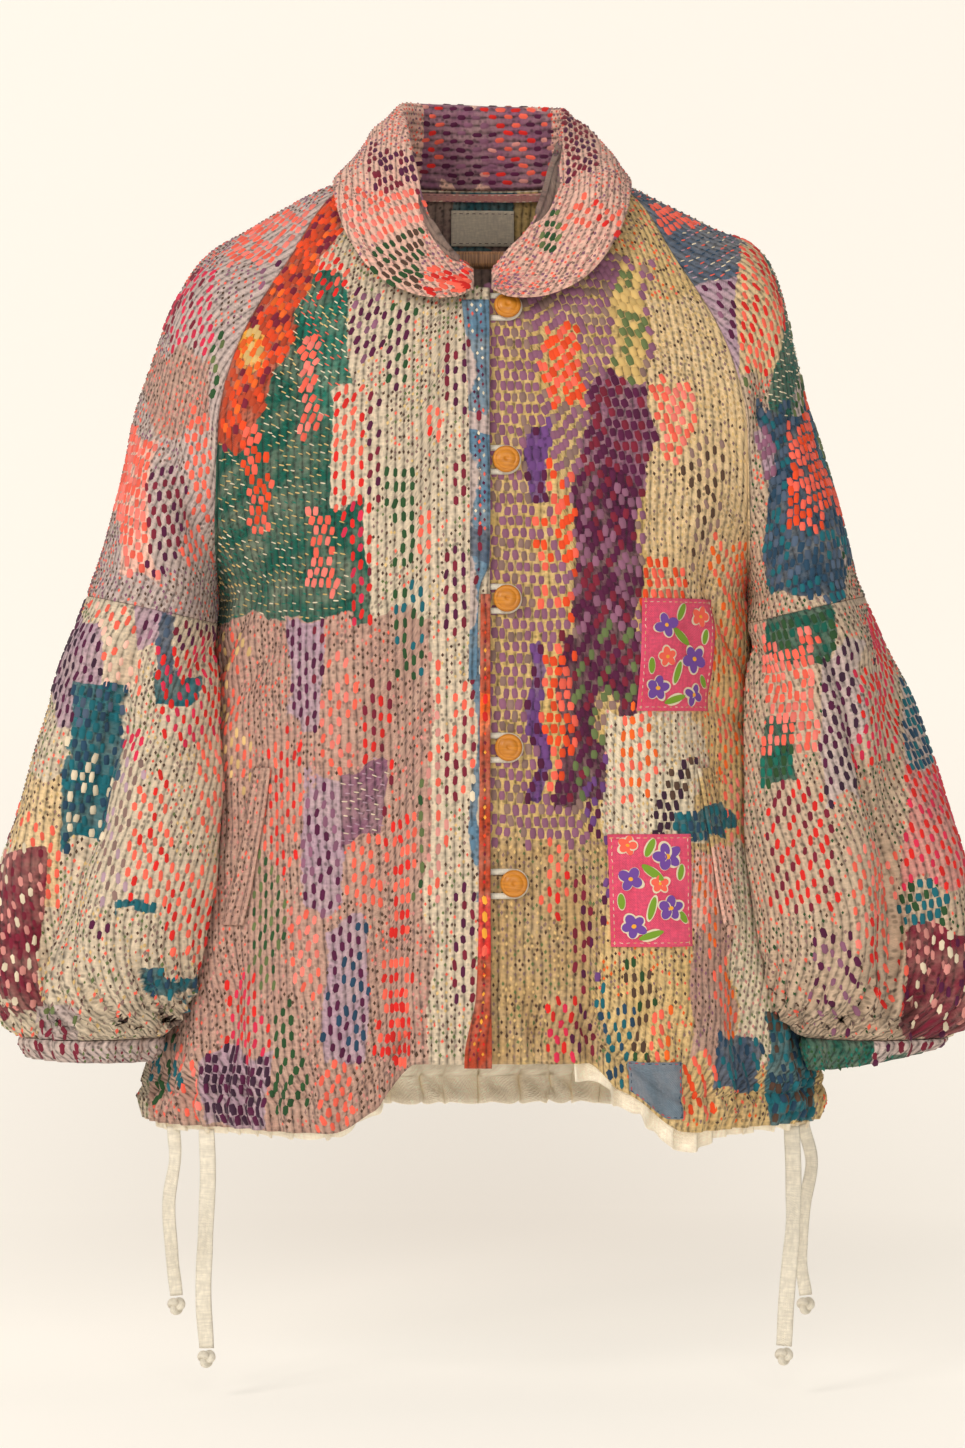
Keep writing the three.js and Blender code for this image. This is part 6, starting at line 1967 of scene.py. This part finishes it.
class JACKET_OT_patches(bpy.types.Operator):
    """Two flowered patches and the slate one, sewn on the left front"""
    bl_idname = "jacket.patches"
    bl_label = "Patches"

    def execute(self, context):
        thickness = sizes().patch_thickness / METRE
        grounds = {
            "pink_patch": cotton_material("Flowered cotton", colours().patch_ground, "raspberry", 0.5),
            "slate_patch": cotton_material("Slate cotton", colours().slate, "ash", 0.35),
        }
        for patch in PATCHES:
            def corner(a, b, patch=patch):
                x = mix(patch.x0, patch.x1, a) + patch.lean * (b - 0.5)
                low = np.maximum(patch.z0, hem_height(x, -1, 1) + 4)
                return x, mix(low, patch.z1, b)

            cloth = cover(-1, 1, corner, 24, 32, patch.lift, thickness)
            gather = 0.5 if patch.slot == "slate_patch" else 0.18
            cloth.raise_by(gather * np.abs(np.sin(cloth.across * 0.62)) * step(0, 4, edge_distance(cloth)) - gather)
            obj = shell(patch.name + "_cloth", cloth, [grounds[patch.slot]], thickness, 0.2)
            out = cloth.normals()
            threads = Threads()
            low, high, left, right = 1, -2, 1, -2
            names = ["cream", "straw"] if patch.slot == "pink_patch" else ["red", "navy"]
            lines = [(low, slice(None)), (high, slice(None)), (slice(None), left), (slice(None), right)]
            for k, line in enumerate(lines):
                sew_line(threads, cloth.points[line], out[line], TOPSTITCH, names, 90 + k)
            if patch.name in FLOWERS:
                rows, count = cloth.points.shape[:2]

                def spot_on(u, v, cloth=cloth, out=out, rows=rows, count=count):
                    i = np.clip((v * (rows - 1)).astype(int), 1, rows - 2)
                    j = np.clip((u * (count - 1)).astype(int), 1, count - 2)
                    east = unit(cloth.points[i, j + 1] - cloth.points[i, j - 1])
                    north = unit(cloth.points[i + 1, j] - cloth.points[i - 1, j])
                    near_u = (u * (count - 1) - j)[:, None]
                    near_v = (v * (rows - 1) - i)[:, None]
                    place = cloth.points[i, j] + near_u * (cloth.points[i, j + 1] - cloth.points[i, j])
                    place = place + near_v * (cloth.points[i + 1, j] - cloth.points[i, j])
                    return place, east, north, out[i, j]

                width, height = patch.x1 - patch.x0, patch.z1 - patch.z0
                print_flowers(threads, spot_on, FLOWERS[patch.name], width, height)
            stitches = threads.make(patch.name + "_stitches", thread_material())
            finish_piece(obj, patch.slot, patch.name)
            finish_piece(stitches, patch.slot)
        return {"FINISHED"}


# Slanted band at each pocket's mouth
POCKET = {"topX": 149, "topZ": -360, "lowX": 170, "lowZ": -466, "width": 13, "lift": 1.5}


class JACKET_OT_pockets(bpy.types.Operator):
    """Slanted bands of the two side pockets"""
    bl_idname = "jacket.pockets"
    bl_label = "Pocket bands"

    def execute(self, context):
        thickness = sizes().pocket_thickness / METRE

        def corner(a, b):
            x = mix(POCKET["lowX"], POCKET["topX"], b) + POCKET["width"] * (a - 0.5)
            return x, mix(POCKET["lowZ"], POCKET["topZ"], b)

        for name, side, areas in (("pocket_right", -1, FRONT_RIGHT), ("pocket_left", 1, FRONT_LEFT)):
            cloth = cover(-1, side, corner, 8, 44, POCKET["lift"], thickness)
            def topstitched(threads, cloth):
                out = cloth.normals()
                for k, line in enumerate((1, -2)):
                    sew_line(threads, cloth.points[:, line], out[:, line], TOPSTITCH, ["taupe", "umber"], 44 + k)

            quilted_piece(name, cloth, areas, "cloth", 41, thickness=thickness, extra=topstitched)
        return {"FINISHED"}


# Blank label and the tape over the neck seam, inside the back
NeckPiece = namedtuple("NeckPiece", "name slot half top bottom thickness lift")
NECK_PIECES = [
    NeckPiece("label", "label_tape", 22.5, 38, 14, 0.8, -4.2),
    NeckPiece("neck_tape", "collar_cloth", 47, 49, 44, 1.1, -5),
]


class JACKET_OT_neck_pieces(bpy.types.Operator):
    """Blank label and neck tape inside the back"""
    bl_idname = "jacket.neck_pieces"
    bl_label = "Label and neck tape"

    def execute(self, context):
        grounds = {
            "label": cotton_material("Label cotton", colours().label, "ash", 0.2, 0.0005),
            "neck_tape": cotton_material("Neck tape", INK["rose"], "ash", 0.5),
        }
        for piece in NECK_PIECES:
            def corner(a, b, piece=piece):
                return mix(-piece.half, piece.half, a), mix(piece.bottom, piece.top, b)

            cloth = cover(1, 0, corner, 41, 14, piece.lift, piece.thickness)
            obj = shell(piece.name + "_cloth", cloth, [grounds[piece.name]], piece.thickness, 0.2)
            threads = Threads()
            out = -cloth.normals()
            inner = cloth.points + out * piece.thickness
            names = ["taupe", "umber"] if piece.name == "label" else ["cream", "mauve"]
            for k, line in enumerate((1, -2)):
                sew_line(threads, inner[line], out[line], TOPSTITCH, names, 97 + k)
            stitches = threads.make(piece.name + "_stitches", thread_material())
            finish_piece(obj, piece.slot, piece.name)
            finish_piece(stitches, piece.slot)
        return {"FINISHED"}


# The drawcord casing inside the hem
CASING_THICKNESS = 1.3
CASING_OFFSET = 4
CASING_DROP_V = -0.005
CASING_TOP_V = 0.045
CASING_ENDS = 1 / 6
CASING_PLEAT = 19
CASING_SHOWS = 0.014
CASING_PAINTED_GLOW = 0.18  # painted light: the casing glows a little, so that it shows bright in the shade under the fronts


class JACKET_OT_casings(bpy.types.Operator):
    """Gathered cream casing of the drawcord, in one length for each body panel"""
    bl_idname = "jacket.casings"
    bl_label = "Hem casing"

    def execute(self, context):
        material = cotton_material("Casing cotton", colours().cream, "sand", 0.3, painted_glow=CASING_PAINTED_GLOW)
        for name, face, side in (("hem_casing_right", -1, -1), ("hem_casing_left", -1, 1), ("hem_casing_back", 1, 1)):
            low = -1 + CASING_ENDS if face > 0 else CASING_ENDS
            columns = np.linspace(low, 1 - CASING_ENDS, 360 if face > 0 else 180)
            q, v = grid(np.linspace(CASING_DROP_V, CASING_TOP_V, 12), columns)
            if side * face < 0 and side > 0:
                v = v - CASING_SHOWS * step(0.5, 0.38, q) * step(CASING_TOP_V, CASING_DROP_V, v)
            sides = side if face < 0 else np.where(q < 0, -1, 1)
            x, z = body_place(np.abs(q), v, face, 1 if face > 0 else side)
            cloth = Cloth(on_cloth(x, z, face, sides), middle=0, turn=1 if face < 0 and side > 0 else -1)
            turns = np.pi * cloth.across / CASING_PLEAT + 1.6 * ripple(cloth.across, 0 * x, 30, 66)
            fine = 2.6 * (np.abs(np.sin(turns)) - 0.6)
            drop = 1.8 * np.abs(np.sin(turns)) * step(CASING_TOP_V, CASING_DROP_V, v)
            cloth.points = cloth.points - stack(0 * x, 0 * x, drop)
            cloth.raise_by(fine - CASING_OFFSET)
            obj = shell(name + "_cotton", cloth, [material], CASING_THICKNESS - 0.4, 0.3)
            finish_piece(obj, "cream_cotton", name)
        return {"FINISHED"}


# Buttons and loops on the left front
BUTTON_NECK = {"radius": 3.6, "height": 2.8}
LOOP = {"outer": 10.2, "inner": 6, "thickness": 1.6, "lift": 0.5}


def button_profile(radius):
    """Turned disc: neck, rounded edge, rim ring, shallow bowl and centre dimple"""
    neck, base = BUTTON_NECK["radius"], BUTTON_NECK["height"]
    table_of_turns = [
        (0, 0), (neck, 0), (neck, base * 0.5), (neck, base), (radius - 2, base), (radius - 0.7, base + 0.35),
        (radius - 0.1, base + 1.0), (radius, base + 1.6), (radius - 0.2, base + 2.3), (radius - 0.8, base + 3.1),
        (radius - 1.5, base + 3.5), (radius - 2.1, base + 3.55), (radius - 2.5, base + 3.25),
        (radius - 2.9, base + 3.2), (radius - 3.4, base + 3.7), (0.5 * radius, base + 4.3),
        (0.3 * radius, base + 4.55), (0.2 * radius, base + 4.5), (1.3, base + 4.1), (0.8, base + 3.6), (0, base + 3.4),
    ]
    return np.array(table_of_turns)


def button_frame(x, z):
    """Seat of a button and the directions east, north and out of the cloth there"""
    def at(dx, dz):
        return on_body(np.array(x + dx), np.array(z + dz, float), -1, 1)

    east = unit(at(3, 0) - at(-3, 0))
    north = unit(at(0, 3) - at(0, -3))
    out = unit(np.cross(east, north))
    return at(0, 0), east, np.cross(out, east), out


def loop_rings(tail):
    """Round-edged cord of cloth that runs back from the button's neck on both sides"""
    middle = (LOOP["outer"] + LOOP["inner"]) / 2
    half = (LOOP["outer"] - LOOP["inner"]) / 2 - 0.05
    top = [(-tail * (1 - k / 8), middle) for k in range(8)]
    turn = [(middle * math.sin(a), middle * math.cos(a)) for a in np.linspace(0, math.pi, 30)]
    low = [(-tail * k / 8, -middle) for k in range(1, 9)]
    path = np.array(top + turn + low)
    ahead = unit(np.gradient(path, axis=0))
    side = np.stack([-ahead[:, 1], ahead[:, 0]], axis=-1)
    ring = np.linspace(0, 2 * np.pi, 14, endpoint=False)
    wide = np.sign(np.cos(ring)) * np.abs(np.cos(ring)) ** 0.7 * half
    high = (np.sign(np.sin(ring)) * np.abs(np.sin(ring)) ** 0.7 + 1) * LOOP["thickness"] / 2
    flat = path[:, None] + side[:, None] * wide[None, :, None]
    return np.concatenate([flat, np.broadcast_to(high[None, :, None], flat.shape[:2] + (1,))], axis=-1)


class JACKET_OT_buttons(bpy.types.Operator):
    """Five turned wooden buttons, each with the loop that fastens it"""
    bl_idname = "jacket.buttons"
    bl_label = "Buttons and loops"

    def execute(self, context):
        wood = wood_material("Button wood", colours().button_wood, linear(0.62, 0.36, 0.10), 0.42, 0.25, 18.0, 0.4)
        cotton = cotton_material("Cream cotton", colours().cream, "oat", 0.16)
        profile = button_profile(sizes().button_radius / METRE)
        angles = np.linspace(0, 2 * np.pi, 48, endpoint=False)
        for i, (x, z) in enumerate(zip(BUTTONS["x"], BUTTONS["z"]), 1):
            seat, east, north, out = button_frame(x, z)

            def placed_at(flat, lift, seat=seat, axes=(east, north, out)):
                return seat + flat[..., :1] * axes[0] + flat[..., 1:2] * axes[1] + (flat[..., 2:] + lift) * axes[2]

            r = profile[1:-1, 0][:, None]
            h = np.broadcast_to(profile[1:-1, 1][:, None], (len(profile) - 2, len(angles)))
            rings = np.stack([r * np.cos(angles), r * np.sin(angles), h], axis=-1)
            button = tube(f"button_{i}_wood", placed_at(rings, SEAM_GAP)[:, ::-1])
            turned = np.concatenate([rings.reshape(-1, 3), [[0, 0, 0], [0, 0, 0]]])
            button.data.uv_layers.remove(button.data.uv_layers["Cloth"])
            spun = turned[:, :2] + np.array([11.0 * i, 5.0 * i])
            add_uv(button, "Cloth", spun * METRE)
            button.data.materials.append(wood)
            finish_piece(button, "button_wood", f"button_{i}")
            loop = tube(f"loop_{i}_cotton", placed_at(loop_rings(x + EDGE_X[-1] - 0.4), LOOP["lift"]))
            loop.data.materials.append(cotton)
            finish_piece(loop, "cream_cotton", f"loop_{i}")
        return {"FINISHED"}


# The wooden bar
BAR = {"half_length": 182.5, "depth": 20, "height": 11, "rounding": 3}


class JACKET_OT_bar(bpy.types.Operator):
    """Plain wooden bar with rounded edges inside the shoulders"""
    bl_idname = "jacket.bar"
    bl_label = "Hanging bar"

    def execute(self, context):
        rounding = BAR["rounding"]
        corner = np.linspace(0, np.pi / 2, 7)
        ring = []
        for k, (sy, sz) in enumerate(((1, 1), (-1, 1), (-1, -1), (1, -1))):
            angle = corner + k * np.pi / 2
            y = sy * (BAR["depth"] / 2 - rounding) + rounding * np.cos(angle)
            z = sz * (BAR["height"] / 2 - rounding) + rounding * np.sin(angle)
            ring.append(np.stack([y, z], axis=-1))
        ring = np.concatenate(ring)
        ends = rounding * np.sin(np.linspace(0, np.pi / 2, 6))
        inset = rounding * (1 - np.cos(np.linspace(0, np.pi / 2, 6)))
        half = BAR["half_length"]
        places = [(-half + rounding - e, n) for e, n in zip(ends[::-1], inset[::-1])]
        places += [(x, 0.0) for x in np.linspace(-half + rounding + 2, half - rounding - 2, 40)]
        places += [(half - rounding + e, n) for e, n in zip(ends, inset)]
        rings = []
        for x, n in places:
            shrink = np.array([1 - n / (BAR["depth"] / 2), 1 - n / (BAR["height"] / 2)])
            flat = ring * shrink
            rings.append(stack(x + 0 * flat[:, 0], flat[:, 0], flat[:, 1] - BAR["height"] / 2))
        bar = tube("hanger_bar_wood", np.array(rings))
        bar.data.materials.append(
            wood_material("Bar wood", colours().bar_wood, INK["umber"], 0.5, 0.1, 60.0))
        finish_piece(bar, "bar_wood", "hanger_bar")
        return {"FINISHED"}


Light = namedtuple("Light", "name place size power colour")
LIGHTS = [
    Light("Key light", (-1.8, -2.1, 1.2), 0.9, 42, (1.0, 0.945, 0.88)),
    Light("Front light", (0.3, -3.0, 1.0), 1.2, 22, (1.0, 0.955, 0.9)),
    Light("Low fill light", (0.2, -2.6, -0.5), 0.8, 9, (1.0, 0.93, 0.84)),
    Light("Top light", (0.2, 0.1, 2.5), 1.2, 8, (1.0, 0.95, 0.9)),
]


# Painted shadow on the floor behind the jacket: its middle and reach in metres, how much it darkens, and its tint
FLOOR_SHADE = {"middle": (0, 0.9), "reach": (0.46, 0.55), "depth": 0.2, "tint": (0.9, 1.0, 1.05)}


class JACKET_OT_stage(bpy.types.Operator):
    """Cream paper backdrop that curves into the floor, with a painted shadow on its floor, and soft studio light"""
    bl_idname = "jacket.stage"
    bl_label = "Stage"

    def execute(self, context):
        floor = sizes().floor_height / METRE
        wall = sizes().backdrop_distance / METRE
        bend = 500
        turn = np.linspace(0, np.pi / 2, 14)
        profile = [(-3600, floor)]
        profile += [(wall - bend + bend * math.sin(a), floor + bend - bend * math.cos(a)) for a in turn]
        profile += [(wall, 3600)]
        x = np.linspace(-4200, 4200, 3)
        points = np.array([[(one, y, z) for one in x] for y, z in profile], float)
        ids = np.arange(points.shape[0] * 3).reshape(-1, 3)
        backdrop = new_object("Backdrop", points.reshape(-1, 3), [quads(ids)])
        material, wires, shader = start_material("Backdrop paper", 0.95)
        paper = (*colours().backdrop, 1)
        # Painted shadow: a soft dark blob on the floor behind the jacket darkens the paper's colour and its glow
        spot = wires.node("ShaderNodeSeparateXYZ")
        wires.plug(wires.node("ShaderNodeTexCoord").outputs["Object"], spot.inputs[0])
        off = []
        for socket, middle, reach in zip(spot.outputs, FLOOR_SHADE["middle"], FLOOR_SHADE["reach"]):
            away = wires.math("DIVIDE", wires.math("SUBTRACT", socket, middle), reach)
            off.append(wires.math("MULTIPLY", away, away))
        near = wires.math("EXPONENT", wires.math("MULTIPLY", wires.math("ADD", off[0], off[1]), -1.0))
        near = wires.math("MULTIPLY", near, wires.range(spot.outputs[2], -0.6, -0.3, FLOOR_SHADE["depth"], 0.0))
        shaded = wires.node("ShaderNodeCombineColor")
        for socket, tint in zip(shaded.inputs, FLOOR_SHADE["tint"]):
            wires.plug(wires.math("SUBTRACT", 1.0, wires.math("MULTIPLY", near, tint)), socket)
        for ground, socket in (((0.46, 0.44, 0.41, 1), "Base Color"), (paper, "Emission Color")):
            wires.plug(wires.blend(1.0, ground, shaded.outputs[0], "MULTIPLY"), shader.inputs[socket])
        shader.inputs["Emission Strength"].default_value = 0.63
        backdrop.data.materials.append(material)
        world = bpy.data.worlds.new("Studio")
        world.use_nodes = True
        background = next(n for n in world.node_tree.nodes if n.type == "BACKGROUND")
        background.inputs[0].default_value = (1.0, 0.95, 0.89, 1)
        background.inputs[1].default_value = 0.2
        context.scene.world = world
        for one in LIGHTS:
            data = bpy.data.lights.new(one.name, "AREA")
            data.size = one.size
            data.energy = one.power
            data.color = one.colour
            light = bpy.data.objects.new(one.name, data)
            light.location = one.place
            aim = np.array([0, 0, -0.35]) - np.array(one.place)
            light.rotation_euler = (
                math.atan2(math.hypot(aim[0], aim[1]), -aim[2]), 0, math.atan2(aim[1], aim[0]) - math.pi / 2,
            )
            context.scene.collection.objects.link(light)
        context.scene.view_settings.view_transform = "Standard"
        return {"FINISHED"}


STEPS = [
    JACKET_OT_camera, JACKET_OT_tapes, JACKET_OT_neck_pieces, JACKET_OT_body, JACKET_OT_sleeves,
    JACKET_OT_collar, JACKET_OT_front_edge, JACKET_OT_patches, JACKET_OT_pockets,
    JACKET_OT_casings, JACKET_OT_buttons, JACKET_OT_bar, JACKET_OT_stage,
]


class JACKET_PT_pieces(bpy.types.Panel):
    """Sizes, colours and pieces of the jacket"""
    bl_idname = "JACKET_PT_pieces"
    bl_label = "Kantha jacket"
    bl_space_type = "VIEW_3D"
    bl_region_type = "UI"
    bl_category = "Jacket"

    def draw(self, context):
        layout = self.layout
        for group in (context.scene.jacket_sizes, context.scene.jacket_colours):
            box = layout.box()
            for name in group.__annotations__:
                box.prop(group, name)
        for one in STEPS:
            layout.operator(one.bl_idname)


CLASSES = [JacketSizes, JacketColours, *STEPS, JACKET_PT_pieces]


def register():
    for one in CLASSES:
        bpy.utils.register_class(one)
    bpy.types.Scene.jacket_sizes = bpy.props.PointerProperty(type=JacketSizes)
    bpy.types.Scene.jacket_colours = bpy.props.PointerProperty(type=JacketColours)


def unregister():
    del bpy.types.Scene.jacket_colours
    del bpy.types.Scene.jacket_sizes
    for one in reversed(CLASSES):
        bpy.utils.unregister_class(one)


def main():
    register()
    for one in STEPS:
        group, name = one.bl_idname.split(".")
        getattr(getattr(bpy.ops, group), name)()


if __name__ == "__main__":
    main()
